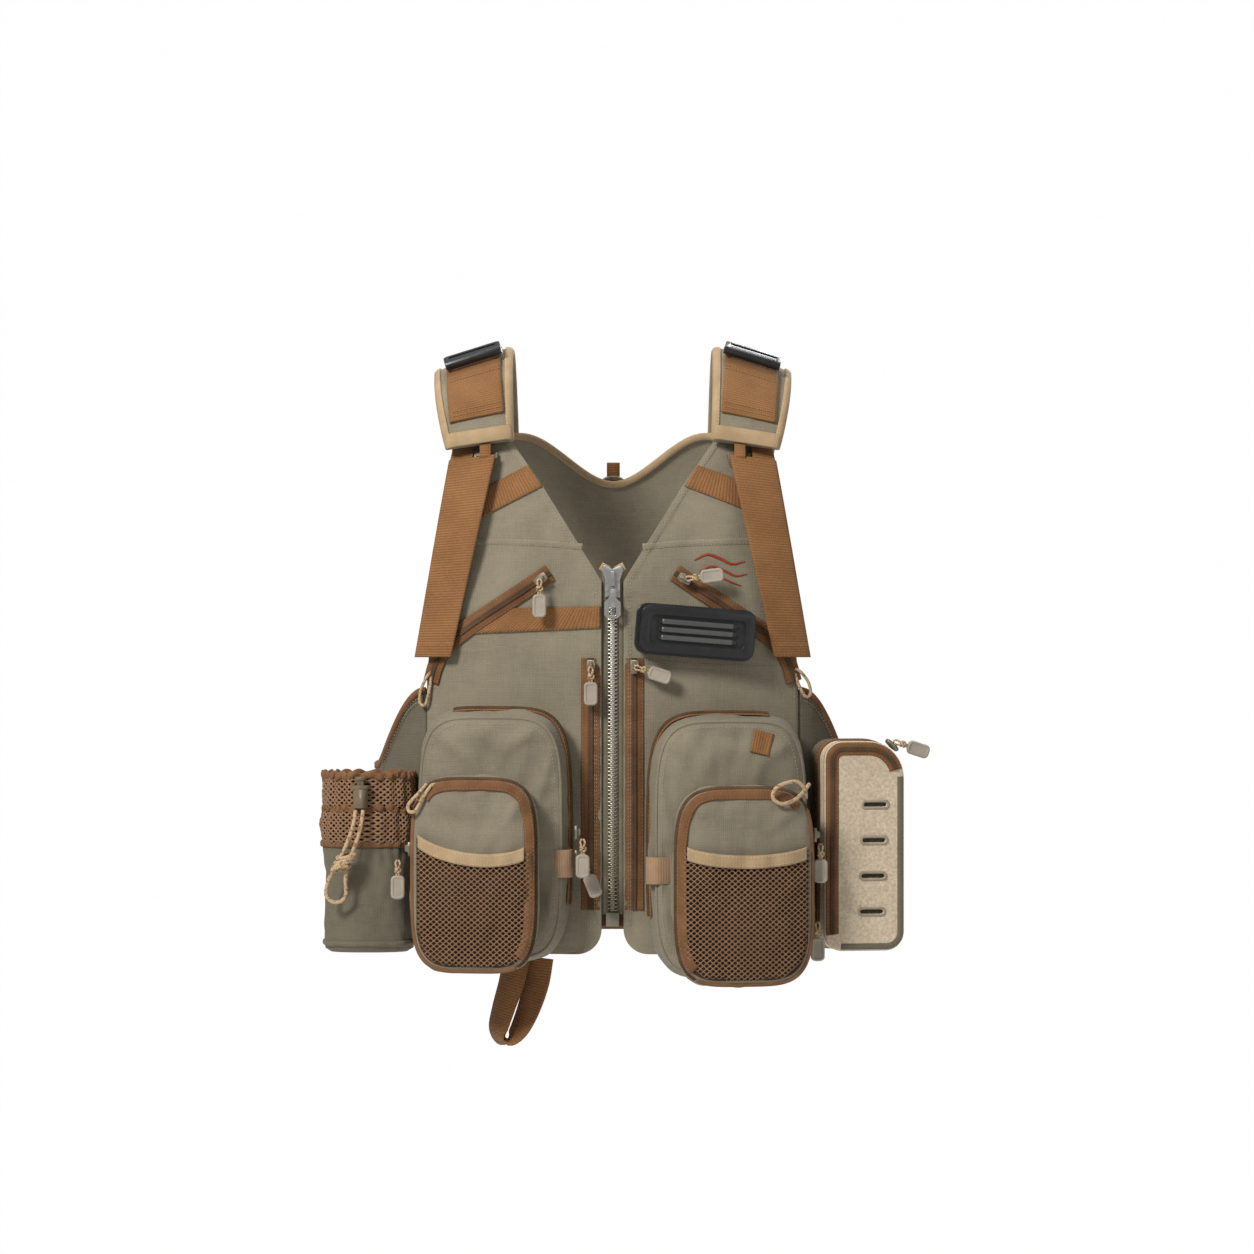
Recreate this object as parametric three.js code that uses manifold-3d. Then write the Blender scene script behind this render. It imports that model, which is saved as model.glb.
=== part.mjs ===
// Fishing vest: two zipped front panels with stacked cargo pockets, side wings that carry a bottle pocket and
// a moulded fly case, a mesh back with a yoke, and padded shoulder straps with webbing adjusters.
// Millimetres, +Z up, the front faces -Y and +X is the wearer's left. The origin is at the base of the neck,
// level with the undersides of the shoulder pads along their inner edges.
import * as THREE from "three";
import { mergeVertices } from "three/addons/utils/BufferGeometryUtils.js";
import Module from "manifold-3d";

const wasm = await Module();
wasm.setup();

// ---------------------------------------------------------------- driving dimensions

const GAP = 0.6; // between faces that lie against each other
const LAYER_GAP = 1.8; // between curved fabric layers, which are faceted

// The wearer's torso, which every fabric piece wraps: a superellipse whose depth shrinks towards the shoulders.
const torso = {
  halfWidth: 192,
  frontDepth: 118,
  backDepth: 112,
  squareness: 2.5,
  frontStraightBelow: -170,
  frontSlope: 0.00304,
  backStraightBelow: -190,
  backSlope: 0.0022,
};

const LEFT = 1; // the wearer's left, +X
const RIGHT = -1;
const SIDES = [
  ["right", RIGHT],
  ["left", LEFT],
];

const panel = { thickness: 4, edge: 8.8, seam: 150, top: -62, neck: -183, bottom: -488, corner: 20 };
const wing = { thickness: 3.4, topFront: -276, topSide: -338, topBack: -300, bottom: -480 };
const back = { thickness: 4, split: -205, bottom: -480, yokeTop: -64, neckDip: 40, neckHalf: 78 };
const backPocket = { halfWidth: 118, top: -285, bottom: -455, depth: 26 };

const pad = { thickness: 9, tiltEnd: 0.13, tiltTop: 0.32 };
const strap = { halfWidth: 22, thickness: 2.2 };
const tail = {
  liftTop: panel.thickness + 10,
  liftEnd: panel.thickness + 5,
  thickness: 2.6,
  length: 162,
  lean: 32,
  halfTop: 19,
  halfEnd: 15,
};
const buckle = { width: 48, length: 24, thickness: 4.5, bar: 7, slot: 4.6 };
const dRing = { x: 102, z: -86, width: 20, height: 16, wire: 2.8, lift: panel.thickness + 2.4 };

const mainZip = { top: -187, bottom: -454, chainHalf: 4.2, chainHeight: 4.2, tape: 1.2, tapeBack: 1 };
const edgeZip = { x: 17.4, top: -251, bottom: -452, tapeHalf: 8, coilHalf: 2.4, tape: 1, coil: 2.6 };
const chestZip = { tapeHalf: 7.5, coilHalf: 2.4, tape: 1, coil: 2.6, slideGap: 1.5 };
const slider = { width: 7.6, length: 11, plate: 2, crown: 2.6, crownWidth: 2.2 };
const pull = { stem: 2.4, stemLength: 12, tabWidth: 11, tabLength: 19, tabThickness: 3.6 };

const cargo = { depth: 40, square: 4.6 };
const front = { depth: 31, square: 4.4 };
const cargoPockets = {
  right: { x: -93.2, z: -393.5, halfWidth: 60.8, halfHeight: 96.5 },
  left: { x: 91.2, z: -402, halfWidth: 62.8, halfHeight: 102 },
};
const frontPockets = {
  right: { x: -108.4, z: -421.6, halfWidth: 49.6, halfHeight: 76 },
  left: { x: 103.2, z: -430.4, halfWidth: 54.8, halfHeight: 77.6 },
};

const bottle = { halfWidth: 36, halfDepth: 30, top: -341, bottom: -486, wall: 3, square: 2.6 };
const flyCase = { width: 66, height: 168, tray: 24, door: 22, wall: 2.6, turn: 12, corner: 15, topZ: -317 };
const slit = { length: 19, width: 3, pitch: 28.6, first: 31, x: 9 };
const dock = { width: 91, height: 37, depth: 12, rim: 7, recess: 3, base: 3, x: 66.5, z: -229.6, roll: 4.5 };
const rodLoop = { width: 24, thickness: 2, drop: 66 };
const cordLock = { x: -201, z: -352, width: 15, depth: 12, height: 18, button: 9 };
const cord = { diameter: 3.2 };
const netRing = { radius: 15, wire: 3.2, z: -112 };

// ---------------------------------------------------------------- the torso's surfaces

function frontDepth(z) {
  return torso.frontDepth - torso.frontSlope * Math.max(0, z - torso.frontStraightBelow) ** 2;
}

function backDepth(z) {
  return torso.backDepth - torso.backSlope * Math.max(0, z - torso.backStraightBelow) ** 2;
}

function depthAt(x, halfWidth, depth) {
  const share = Math.min(1, Math.abs(x) / halfWidth);
  return depth * Math.max(0, 1 - share ** torso.squareness) ** (1 / torso.squareness);
}

// The point d outside the torso's front, at x and z as seen from the front.
function onFront(x, z, d) {
  return new THREE.Vector3(x, -depthAt(x, torso.halfWidth + d, frontDepth(z) + d), z);
}

function onBack(x, z, d) {
  return new THREE.Vector3(x, depthAt(x, torso.halfWidth + d, backDepth(z) + d), z);
}

// The point d outside the torso's flank; the angle is 0 at the side and negative towards the front.
function onFlank(side, angle, z, d) {
  const power = 2 / torso.squareness;
  const depth = (angle < 0 ? frontDepth(z) : backDepth(z)) + d;
  const x = side * (torso.halfWidth + d) * Math.cos(angle) ** power;
  return new THREE.Vector3(x, Math.sign(angle) * depth * Math.abs(Math.sin(angle)) ** power, z);
}

function flankAngle(x, d) {
  return Math.acos((x / (torso.halfWidth + d)) ** (torso.squareness / 2));
}

// A frame that lies on the front: X across, Y into the body and Z up, turned about the surface's normal.
function frontSeat(x, z, d, roll = 0) {
  const across = onFront(x + 1, z, d).sub(onFront(x - 1, z, d)).normalize();
  const up = onFront(x, z + 1, d).sub(onFront(x, z - 1, d));
  const inward = up.clone().cross(across).normalize();
  up.copy(across).cross(inward).normalize();
  const seat = new THREE.Matrix4().makeBasis(across, inward, up).setPosition(onFront(x, z, d));
  return seat.multiply(new THREE.Matrix4().makeRotationY(THREE.MathUtils.degToRad(roll)));
}

// A frame at a point, whose Y points inwards: turned about Z, then rolled about its own Y.
function freeSeat(x, y, z, turn = 0, roll = 0) {
  const seat = new THREE.Matrix4().makeTranslation(x, y, z);
  seat.multiply(new THREE.Matrix4().makeRotationZ(THREE.MathUtils.degToRad(turn)));
  return seat.multiply(new THREE.Matrix4().makeRotationY(THREE.MathUtils.degToRad(roll)));
}

// ---------------------------------------------------------------- geometry helpers

const mix = THREE.MathUtils.lerp;
const smooth = THREE.MathUtils.smoothstep;

// Moves every vertex by a function, and turns the faces round if that left them pointing inwards.
function remap(geometry, place) {
  const position = geometry.getAttribute("position");
  const p = new THREE.Vector3();
  for (let i = 0; i < position.count; i += 1) {
    const q = place(p.fromBufferAttribute(position, i));
    position.setXYZ(i, q.x, q.y, q.z);
  }
  const plain = new THREE.BufferGeometry().setAttribute("position", position);
  plain.setIndex(geometry.index);
  return facingOut(plain);
}

function facingOut(geometry) {
  const position = geometry.getAttribute("position");
  const index = geometry.index;
  const [a, b, c] = [new THREE.Vector3(), new THREE.Vector3(), new THREE.Vector3()];
  let volume = 0;
  for (let i = 0; i < index.count; i += 3) {
    a.fromBufferAttribute(position, index.getX(i));
    b.fromBufferAttribute(position, index.getX(i + 1));
    c.fromBufferAttribute(position, index.getX(i + 2));
    volume += a.dot(b.cross(c));
  }
  if (volume < 0) {
    for (let i = 0; i < index.count; i += 3) {
      const swapped = index.getX(i + 1);
      index.setX(i + 1, index.getX(i + 2));
      index.setX(i + 2, swapped);
    }
  }
  return geometry;
}

// A curved slab: place(u, v, w) gives the point for u and v along its faces and w through it, each 0 to 1.
function slab(uSteps, vSteps, place) {
  const box = new THREE.BoxGeometry(1, 1, 1, uSteps, vSteps, 1);
  return remap(box, (p) => place(p.x + 0.5, 0.5 - p.y, p.z + 0.5));
}

// Picks from a list of evenly numbered stations, so that u = i / (n - 1) gives stations[i].
function station(stations, u) {
  return stations[Math.round(u * (stations.length - 1))];
}

function solid(geometry) {
  const plain = geometry.clone();
  plain.deleteAttribute("normal");
  plain.deleteAttribute("uv");
  const merged = mergeVertices(plain, 1e-4);
  const vertProperties = new Float32Array(merged.getAttribute("position").array);
  const triVerts = new Uint32Array(merged.index.array);
  return new wasm.Manifold(new wasm.Mesh({ numProp: 3, vertProperties, triVerts }));
}

function geometryOf(manifold) {
  const mesh = manifold.getMesh();
  const geometry = new THREE.BufferGeometry();
  geometry.setAttribute("position", new THREE.Float32BufferAttribute(mesh.vertProperties, 3));
  geometry.setIndex(new THREE.Uint32BufferAttribute(mesh.triVerts, 1));
  return geometry;
}

function join(...geometries) {
  return geometryOf(geometries.map(solid).reduce((whole, piece) => whole.add(piece)));
}

function cut(body, ...tools) {
  return geometryOf(tools.map(solid).reduce((whole, tool) => whole.subtract(tool), solid(body)));
}

function box(width, depth, height, x = 0, y = 0, z = 0) {
  return new THREE.BoxGeometry(width, depth, height).translate(x, y, z);
}

function roundedShape(width, height, corner) {
  const r = Math.min(corner, width / 2 - 0.01, height / 2 - 0.01);
  const [w, h] = [width / 2, height / 2];
  const shape = new THREE.Shape();
  shape.moveTo(-w + r, -h);
  shape.lineTo(w - r, -h);
  shape.absarc(w - r, -h + r, r, -Math.PI / 2, 0);
  shape.absarc(w - r, h - r, r, 0, Math.PI / 2);
  shape.absarc(-w + r, h - r, r, Math.PI / 2, Math.PI);
  shape.absarc(-w + r, -h + r, r, Math.PI, 1.5 * Math.PI);
  return shape;
}

function slotPath(width, height, x = 0, z = 0, corner = 1) {
  const points = roundedShape(width, height, corner).getPoints(2);
  return new THREE.Path(points.map((p) => new THREE.Vector2(p.x + x, p.y + z)));
}

// A flat plate in the XZ plane that runs from y = near to y = far.
function plate(shape, near, far, curveSegments = 4) {
  const geometry = new THREE.ExtrudeGeometry(shape, {
    depth: far - near,
    bevelEnabled: false,
    curveSegments,
  });
  return geometry.rotateX(Math.PI / 2).translate(0, far, 0);
}

// An outline given as a direction's reach: a rectangle whose corners are as square as the number says.
function reach(halfWidth, halfHeight, square) {
  return (c, s) => (Math.abs(c / halfWidth) ** square + Math.abs(s / halfHeight) ** square) ** (-1 / square);
}

// A soft body of revolution stretched to an outline: profile rows are [share of the outline, height].
function pouch(outline, profile, place, segments = 32) {
  const rows = profile.map(([share, height]) => new THREE.Vector2(share, height));
  return remap(new THREE.LatheGeometry(rows, segments), (p) => {
    const share = Math.hypot(p.x, p.z);
    const [c, s] = share > 1e-6 ? [p.x / share, p.z / share] : [1, 0];
    const out = share > 1e-6 ? share * outline(c, s) : 0;
    return place(out * c, out * s, p.y);
  });
}

// A strip that follows a curve: width runs along across(t), thickness along its normal.
function ribbon(curve, across, halfWidth, thickness, steps) {
  return slab(1, steps, (u, v, w) => {
    const wide = across(v).normalize();
    const normal = curve.getTangent(v).cross(wide).normalize();
    const p = curve.getPoint(v).addScaledVector(wide, mix(-1, 1, u) * halfWidth(v));
    return p.addScaledVector(normal, mix(-0.5, 0.5, w) * thickness);
  });
}

// ---------------------------------------------------------------- materials and the group

const material = (color, roughness, metalness = 0) =>
  new THREE.MeshStandardMaterial({ color, roughness, metalness });

const materials = {
  canvas: material(0x817964, 0.92),
  mesh: material(0x5a4431, 0.95),
  webbing: material(0x93662f, 0.85),
  binding: material(0xb59a72, 0.9),
  zipTape: material(0x73502f, 0.85),
  zipMetal: material(0x8f8c86, 0.38, 0.9),
  rubber: material(0xb7ac98, 0.6),
  blackPlastic: material(0x2c2d2e, 0.35),
  olivePlastic: material(0x6b6350, 0.55),
  caseShell: material(0xa99c83, 0.9),
  foam: material(0xb8b4a8, 0.95),
  cord: material(0xb79c74, 0.85),
};

const vest = new THREE.Group();
vest.name = "fishing_vest";

function add(name, geometry, kind, seat) {
  const mesh = new THREE.Mesh(geometry, materials[kind]);
  mesh.name = name;
  if (seat) mesh.applyMatrix4(seat);
  vest.add(mesh);
  return mesh;
}

// ---------------------------------------------------------------- front panels

// How far each front panel's inner edge is from the centre line, at each height.
function innerEdge(z) {
  const neckline = [
    [panel.top, 91],
    [-112, 56.4],
    [panel.neck, 12.4],
    [panel.neck - 6, panel.edge],
  ];
  for (let i = 1; i < neckline.length; i += 1) {
    const [[z0, x0], [z1, x1]] = [neckline[i - 1], neckline[i]];
    if (z >= z1) return mix(x0, x1, (z - z0) / (z1 - z0));
  }
  const drop = Math.max(0, panel.bottom + panel.corner - z);
  return panel.edge + panel.corner - Math.sqrt(panel.corner ** 2 - drop ** 2);
}

function outerEdge(z) {
  const armhole = smooth(-z, -panel.top, -wing.topFront);
  return mix(125, panel.seam, armhole ** 1.4);
}

function frontPanel(side) {
  const neckRows = [0, 0.2, 0.41, 0.6, 0.8, 1].map((t) => mix(panel.top, panel.neck, t));
  const bodyRows = [panel.neck - 6];
  for (let t = 1; t <= 12; t += 1) {
    bodyRows.push(mix(panel.neck - 6, panel.bottom + panel.corner, t / 12));
  }
  const cornerRows = [0.45, 0.78, 0.95, 1].map((t) => panel.bottom + panel.corner * (1 - t));
  const rows = [...neckRows, ...bodyRows, ...cornerRows];
  return slab(10, rows.length - 1, (u, v, w) => {
    const z = station(rows, v);
    return onFront(side * mix(innerEdge(z), outerEdge(z), u), z, w * panel.thickness);
  });
}

for (const [name, side] of SIDES) add(`front_panel_${name}`, frontPanel(side), "canvas");

// ---------------------------------------------------------------- side wings

function wingTop(t) {
  const down = smooth(t, 0, 0.38);
  const up = smooth(t, 0.55, 1);
  return mix(wing.topFront, wing.topSide, down) + (wing.topBack - wing.topSide) * up;
}

function sideWing(side) {
  const edge = panel.seam + LAYER_GAP;
  return slab(14, 5, (u, v, w) => {
    const d = w * wing.thickness;
    const limit = flankAngle(edge, d);
    const angle = mix(-limit, limit, u) + (u === 0.5 ? 1e-4 : 0);
    return onFlank(side, angle, mix(wingTop(u), wing.bottom, v), d);
  });
}

for (const [name, side] of SIDES) add(`side_wing_${name}`, sideWing(side), "canvas");

// ---------------------------------------------------------------- back

function yokeTop(x) {
  return back.yokeTop - back.neckDip * (1 - smooth(Math.abs(x), 0, back.neckHalf));
}

function backHalfWidth(z) {
  return mix(130, panel.seam, smooth(-z, 140, -wing.topBack));
}

const yoke = slab(16, 6, (u, v, w) => {
  const side = mix(-1, 1, u);
  const z = mix(yokeTop(side * backHalfWidth(back.yokeTop)), back.split + GAP, v);
  return onBack(side * backHalfWidth(z), z, w * back.thickness);
});
add("back_yoke", yoke, "canvas");

const backMesh = slab(16, 10, (u, v, w) => {
  const z = mix(back.split - GAP, back.bottom, v);
  return onBack(mix(-1, 1, u) * backHalfWidth(z), z, w * back.thickness);
});
add("back_mesh_panel", backMesh, "mesh");

const backPocketHeight = (backPocket.top - backPocket.bottom) / 2;
const backPocketBody = pouch(
  reach(backPocket.halfWidth, backPocketHeight, 5),
  [
    [0, 0],
    [0.35, 0],
    [0.7, 0],
    [1, 0],
    [1, 0.6],
    [0.9, 0.92],
    [0.6, 1],
    [0.3, 1],
    [0, 1],
  ],
  (x, z, h) => {
    const nearest = back.thickness + LAYER_GAP;
    return onBack(x, z + backPocket.bottom + backPocketHeight, nearest + h * backPocket.depth);
  },
  36,
);
add("back_pocket", backPocketBody, "canvas");

const ringShape = new THREE.Shape().absarc(0, 0, netRing.radius, 0, 2 * Math.PI);
ringShape.holes.push(new THREE.Path().absarc(0, 0, netRing.radius - netRing.wire, 0, 2 * Math.PI));
const netRingBody = plate(ringShape, 0, netRing.wire, 9);
const netRingLift = onBack(0, netRing.z, back.thickness + LAYER_GAP).y;
const netRingTip = THREE.MathUtils.radToDeg(Math.atan(2 * torso.backSlope * (netRing.z - torso.backStraightBelow)));
const netRingSeat = new THREE.Matrix4()
  .makeTranslation(0, netRingLift, netRing.z)
  .multiply(new THREE.Matrix4().makeRotationX(THREE.MathUtils.degToRad(netRingTip)));
add("back_net_ring", netRingBody, "zipMetal", netRingSeat);

// ---------------------------------------------------------------- shoulder pads and straps

// The undersides' middle line over the shoulder, from the front end to the back end, as [y, z].
const padFrontEnd = -97;
const padLine = new THREE.CatmullRomCurve3(
  [
    [padFrontEnd, -80],
    [-90, -60],
    [-77, -42],
    [-57, -26],
    [-30, -15],
    [0, -12],
    [28, -16],
    [52, -30],
    [74, -54],
    [90, -84],
  ].map(([y, z]) => {
    const depth = y < 0 ? torso.frontDepth / 118 : torso.backDepth / 112;
    return new THREE.Vector3(0, y * depth, z);
  }),
);

// A point on a shoulder pad: s runs from its front end to its back end, w from its inner to its outer edge.
function onPad(side, s, w, d) {
  const top = 4 * s * (1 - s);
  const offset = w * mix(27, 32, top);
  const tangent = padLine.getTangent(s);
  const middle = padLine.getPoint(s).add(new THREE.Vector3(0, -tangent.z, tangent.y).multiplyScalar(d));
  const tilt = mix(pad.tiltEnd, pad.tiltTop, top);
  return new THREE.Vector3(side * (mix(107, 114, top) + offset), middle.y, middle.z - tilt * offset);
}

function onPadSeat(side, s, d) {
  const across = onPad(side, s, side, d).sub(onPad(side, s, -side, d)).normalize();
  const along = onPad(side, s + 0.01, 0, d).sub(onPad(side, s - 0.01, 0, d)).normalize();
  const outward = across.clone().cross(along).normalize();
  const forward = outward.clone().cross(across);
  return new THREE.Matrix4().makeBasis(across, forward, outward).setPosition(onPad(side, s, 0, d));
}

const strapPlace = { from: 0.06, to: 0.93 };
const bucklePlace = 0.4;

for (const [name, side] of SIDES) {
  const padBody = slab(4, 22, (u, v, w) => onPad(side, v, mix(-1, 1, u), w * pad.thickness));
  add(`shoulder_pad_${name}`, padBody, "canvas");

  const strapFoot = pad.thickness + GAP;
  const strapBody = slab(1, 20, (u, v, w) => {
    const across = (mix(-1, 1, u) * strap.halfWidth) / 30;
    return onPad(side, mix(strapPlace.from, strapPlace.to, v), across, strapFoot + w * strap.thickness);
  });
  add(`shoulder_webbing_${name}`, strapBody, "webbing");

  const buckleShape = roundedShape(buckle.width, buckle.length, 4);
  for (const y of [-buckle.length / 4, buckle.length / 4]) {
    buckleShape.holes.push(slotPath(buckle.width - 8, buckle.slot, 0, y));
  }
  const buckleFrame = new THREE.ExtrudeGeometry(buckleShape, {
    depth: buckle.thickness,
    bevelEnabled: false,
    curveSegments: 3,
  });
  const bar = new THREE.CylinderGeometry(buckle.bar / 2, buckle.bar / 2, buckle.width - 1, 12)
    .rotateZ(Math.PI / 2)
    .translate(0, -buckle.length / 2 + 1, buckle.thickness - 1);
  const buckleLift = strapFoot + strap.thickness + LAYER_GAP;
  add(`shoulder_buckle_${name}`, join(buckleFrame, bar), "blackPlastic", onPadSeat(side, bucklePlace, buckleLift));
}

// The strap's free tail: it leaves the pad's front end and hangs over the armhole edge.
function tailPoint(side, u, v, d) {
  const half = mix(tail.halfTop, tail.halfEnd, v);
  const x = mix(113, 113 + tail.lean, v) + mix(-1, 1, u) * half;
  const slant = pad.tiltEnd * (x - 107) * (1 - v);
  const z = -88 - slant - v * tail.length;
  return onFront(side * x, z, d);
}

for (const [name, side] of SIDES) {
  const tailBody = slab(2, 12, (u, v, w) => {
    return tailPoint(side, u, v, mix(tail.liftTop, tail.liftEnd, v) + w * tail.thickness);
  });
  add(`strap_tail_${name}`, tailBody, "webbing");

  const ring = new THREE.Shape();
  const [rw, rh] = [dRing.width / 2, dRing.height];
  ring.moveTo(-rw, 0);
  ring.lineTo(-rw, -rh + rw);
  ring.absarc(0, -rh + rw, rw, Math.PI, 2 * Math.PI);
  ring.lineTo(rw, 0);
  const [hw, inset] = [rw - dRing.wire, dRing.wire];
  const hole = new THREE.Path();
  hole.moveTo(-hw, -inset);
  hole.lineTo(-hw, -rh + rw);
  hole.absarc(0, -rh + rw, hw, Math.PI, 2 * Math.PI);
  hole.lineTo(hw, -inset);
  ring.holes.push(hole);
  const ringBody = plate(ring, -dRing.wire, 0, 5);
  add(`d_ring_${name}`, ringBody, "olivePlastic", frontSeat(side * dRing.x, dRing.z, dRing.lift));
}

// ---------------------------------------------------------------- zips

// A straight zip's section: a tape with a raised coil, from x0 to x1, extruded upwards.
function upright(points, bottom, top) {
  const shape = new THREE.Shape(points.map(([x, y]) => new THREE.Vector2(x, y)));
  return new THREE.ExtrudeGeometry(shape, { depth: top - bottom, bevelEnabled: false }).translate(0, 0, bottom);
}

const zipFace = -torso.frontDepth; // the y of the torso's front on the centre line

for (const [name, side] of SIDES) {
  const [near, far] = [GAP / 2, panel.edge - GAP];
  const chain = upright(
    [
      [near, zipFace],
      [mainZip.chainHalf, zipFace],
      [mainZip.chainHalf, zipFace - mainZip.tapeBack],
      [far, zipFace - mainZip.tapeBack],
      [far, zipFace - mainZip.tapeBack - mainZip.tape],
      [mainZip.chainHalf, zipFace - mainZip.tapeBack - mainZip.tape],
      [mainZip.chainHalf, zipFace - mainZip.chainHeight],
      [near, zipFace - mainZip.chainHeight],
    ].map(([x, y]) => [side * x, y]),
    mainZip.bottom,
    mainZip.top,
  );
  add(`main_zip_${name}`, remap(mergeVertices(chain), (p) => p), "zipMetal");

  const foot = panel.thickness + GAP;
  const [tapeTop, coilTop] = [foot + edgeZip.tape, foot + edgeZip.coil];
  const edge = upright(
    [
      [-edgeZip.tapeHalf, foot],
      [edgeZip.tapeHalf, foot],
      [edgeZip.tapeHalf, tapeTop],
      [edgeZip.coilHalf, tapeTop],
      [edgeZip.coilHalf, coilTop],
      [-edgeZip.coilHalf, coilTop],
      [-edgeZip.coilHalf, tapeTop],
      [-edgeZip.tapeHalf, tapeTop],
    ].map(([x, d]) => [side * edgeZip.x + x, zipFace - d]),
    edgeZip.bottom,
    edgeZip.top,
  );
  add(`edge_zip_${name}`, remap(mergeVertices(edge), (p) => p), "zipTape");
}

const boxTop = mainZip.bottom - GAP;
const retainer = box(10.5, 6, 11, 0, zipFace - 2, boxTop - 5.5);
add("main_zip_box", retainer, "zipMetal");

// Each chest zip's coil line, as distances from the centre line and heights.
const chestLine = new THREE.SplineCurve(
  [
    [50, -182],
    [72, -197],
    [95, -212],
    [118, -227.5],
    [133, -240],
    [142, -255],
    [146.5, -270],
  ].map(([x, z]) => new THREE.Vector2(x, z)),
);

function chestZipBody(side) {
  const { tapeHalf, coilHalf, tape, coil } = chestZip;
  const widths = [-tapeHalf, -coilHalf - 0.2, -coilHalf, coilHalf, coilHalf + 0.2, tapeHalf];
  const heights = [tape, tape, coil, coil, tape, tape];
  const foot = panel.thickness + LAYER_GAP;
  return slab(5, 14, (u, v, w) => {
    const p = chestLine.getPoint(v);
    const t = chestLine.getTangent(v);
    const across = station(widths, u);
    const x = Math.min(p.x - t.y * across, panel.seam + 6);
    return onFront(side * x, p.y + t.x * across, foot + w * station(heights, u));
  });
}

for (const [name, side] of SIDES) add(`chest_zip_${name}`, chestZipBody(side), "zipTape");

// ---------------------------------------------------------------- zip sliders and pulls

// A slider in its own frame: Y points into the body, Z up the zip, and its plate starts at y = 0.
function sliderBody(width = slider.width, length = slider.length) {
  const shape = new THREE.Shape();
  const [w, l] = [width / 2, length / 2];
  shape.moveTo(-w * 0.6, -l);
  shape.lineTo(w * 0.6, -l);
  shape.lineTo(w, l * 0.4);
  shape.lineTo(w * 0.7, l);
  shape.lineTo(-w * 0.7, l);
  shape.lineTo(-w, l * 0.4);
  const body = plate(shape, -slider.plate, 0);
  const crown = new THREE.Shape();
  const tall = slider.plate + slider.crown;
  crown.moveTo(-slider.plate / 2, -l * 0.55);
  crown.lineTo(-tall, -l * 0.3);
  crown.lineTo(-tall, l * 0.45);
  crown.lineTo(-slider.plate / 2, l * 0.75);
  const bridge = new THREE.ExtrudeGeometry(crown, { depth: slider.crownWidth, bevelEnabled: false });
  // the crown's profile is drawn as (y, z) and stands across the slider
  bridge.applyMatrix4(new THREE.Matrix4().set(0, 0, 1, -slider.crownWidth / 2, 1, 0, 0, 0, 0, 1, 0, 0, 0, 0, 0, 1));
  return join(body, bridge);
}

const pivotLift = slider.plate + slider.crown + GAP; // how far a pull's pivot stands off the slider's back

// A pull in its own frame: the pivot is the origin, a corded stem runs down -Z and ends in a moulded tab.
function pullBody() {
  const stem = new THREE.CylinderGeometry(pull.stem / 2, pull.stem / 2, pull.stemLength + 2, 8)
    .rotateX(Math.PI / 2)
    .translate(0, -pull.stem / 2, -(pull.stemLength + 2) / 2);
  const middle = -pull.stemLength - pull.tabLength / 2;
  const shape = roundedShape(pull.tabWidth, pull.tabLength, 4);
  const tab = plate(shape, -pull.tabThickness, 0, 3).translate(0, 0.4, middle);
  return join(stem, tab);
}

// The slider sits on its zip; the pull hangs in front of it, rolled about the slider's normal.
function sliderAndPull(name, seat, roll) {
  add(`${name}_slider`, sliderBody(), "zipMetal", seat);
  const hang = seat.clone().multiply(new THREE.Matrix4().makeTranslation(0, -pivotLift, 0));
  hang.multiply(new THREE.Matrix4().makeRotationY(THREE.MathUtils.degToRad(roll)));
  add(`${name}_pull`, pullBody(), "rubber", hang);
}

const edgeFoot = panel.thickness + GAP + edgeZip.coil + GAP;
const edgeStart = edgeZip.top - slider.length / 2 - 1;
sliderAndPull("edge_zip_right", freeSeat(-edgeZip.x, zipFace - edgeFoot, edgeStart), 0);
sliderAndPull("edge_zip_left", freeSeat(edgeZip.x, zipFace - edgeFoot, edgeStart), -72);

const chestFoot = panel.thickness + LAYER_GAP + chestZip.coil + chestZip.slideGap;
const chestStart = 0.07;
for (const [name, side, hang] of [
  ["right", RIGHT, 0],
  ["left", LEFT, -97],
]) {
  const p = chestLine.getPoint(chestStart);
  const t = chestLine.getTangent(chestStart);
  const lean = -side * THREE.MathUtils.radToDeg(Math.atan2(t.x, -t.y));
  sliderAndPull(`chest_zip_${name}`, frontSeat(side * p.x, p.y, chestFoot, lean), hang - lean);
}

// The main slider: a winged plate that straddles the chain, with a crown for its metal pull.
const mainSlider = { width: 17, neck: 9.6, length: 26, plate: 2, lift: 0.5, flange: 1.3, flangeReach: 2.1 };
const mainPull = { width: 13, length: 24, thickness: 2, neck: 5, hole: 5.4 };

function mainSliderBody() {
  const { width, neck, length, plate: thick, flange, flangeReach } = mainSlider;
  const [w, n, l] = [width / 2, neck / 2 + flange, length / 2];
  const shape = new THREE.Shape();
  shape.moveTo(-n, -l);
  shape.lineTo(n, -l);
  shape.lineTo(n, l * 0.1);
  shape.lineTo(w, l * 0.7);
  shape.lineTo(w * 0.8, l);
  shape.lineTo(0, l * 0.75);
  shape.lineTo(-w * 0.8, l);
  shape.lineTo(-w, l * 0.7);
  shape.lineTo(-n, l * 0.1);
  const face = plate(shape, -thick, 0);
  const flanges = [-1, 1].map((s) => {
    const x = s * (n - flange / 2);
    return box(flange, flangeReach + thick / 2, l, x, (flangeReach - thick / 2) / 2, -l / 2);
  });
  const crown = box(3.2, 3.4, 12, 0, -thick - 1.5, 2);
  return join(face, ...flanges, crown);
}

const mainSliderZ = mainZip.top - 2;
const mainSliderY = zipFace - mainZip.chainHeight - mainSlider.lift;
add("main_slider", mainSliderBody(), "zipMetal", freeSeat(0, mainSliderY, mainSliderZ));

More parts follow.
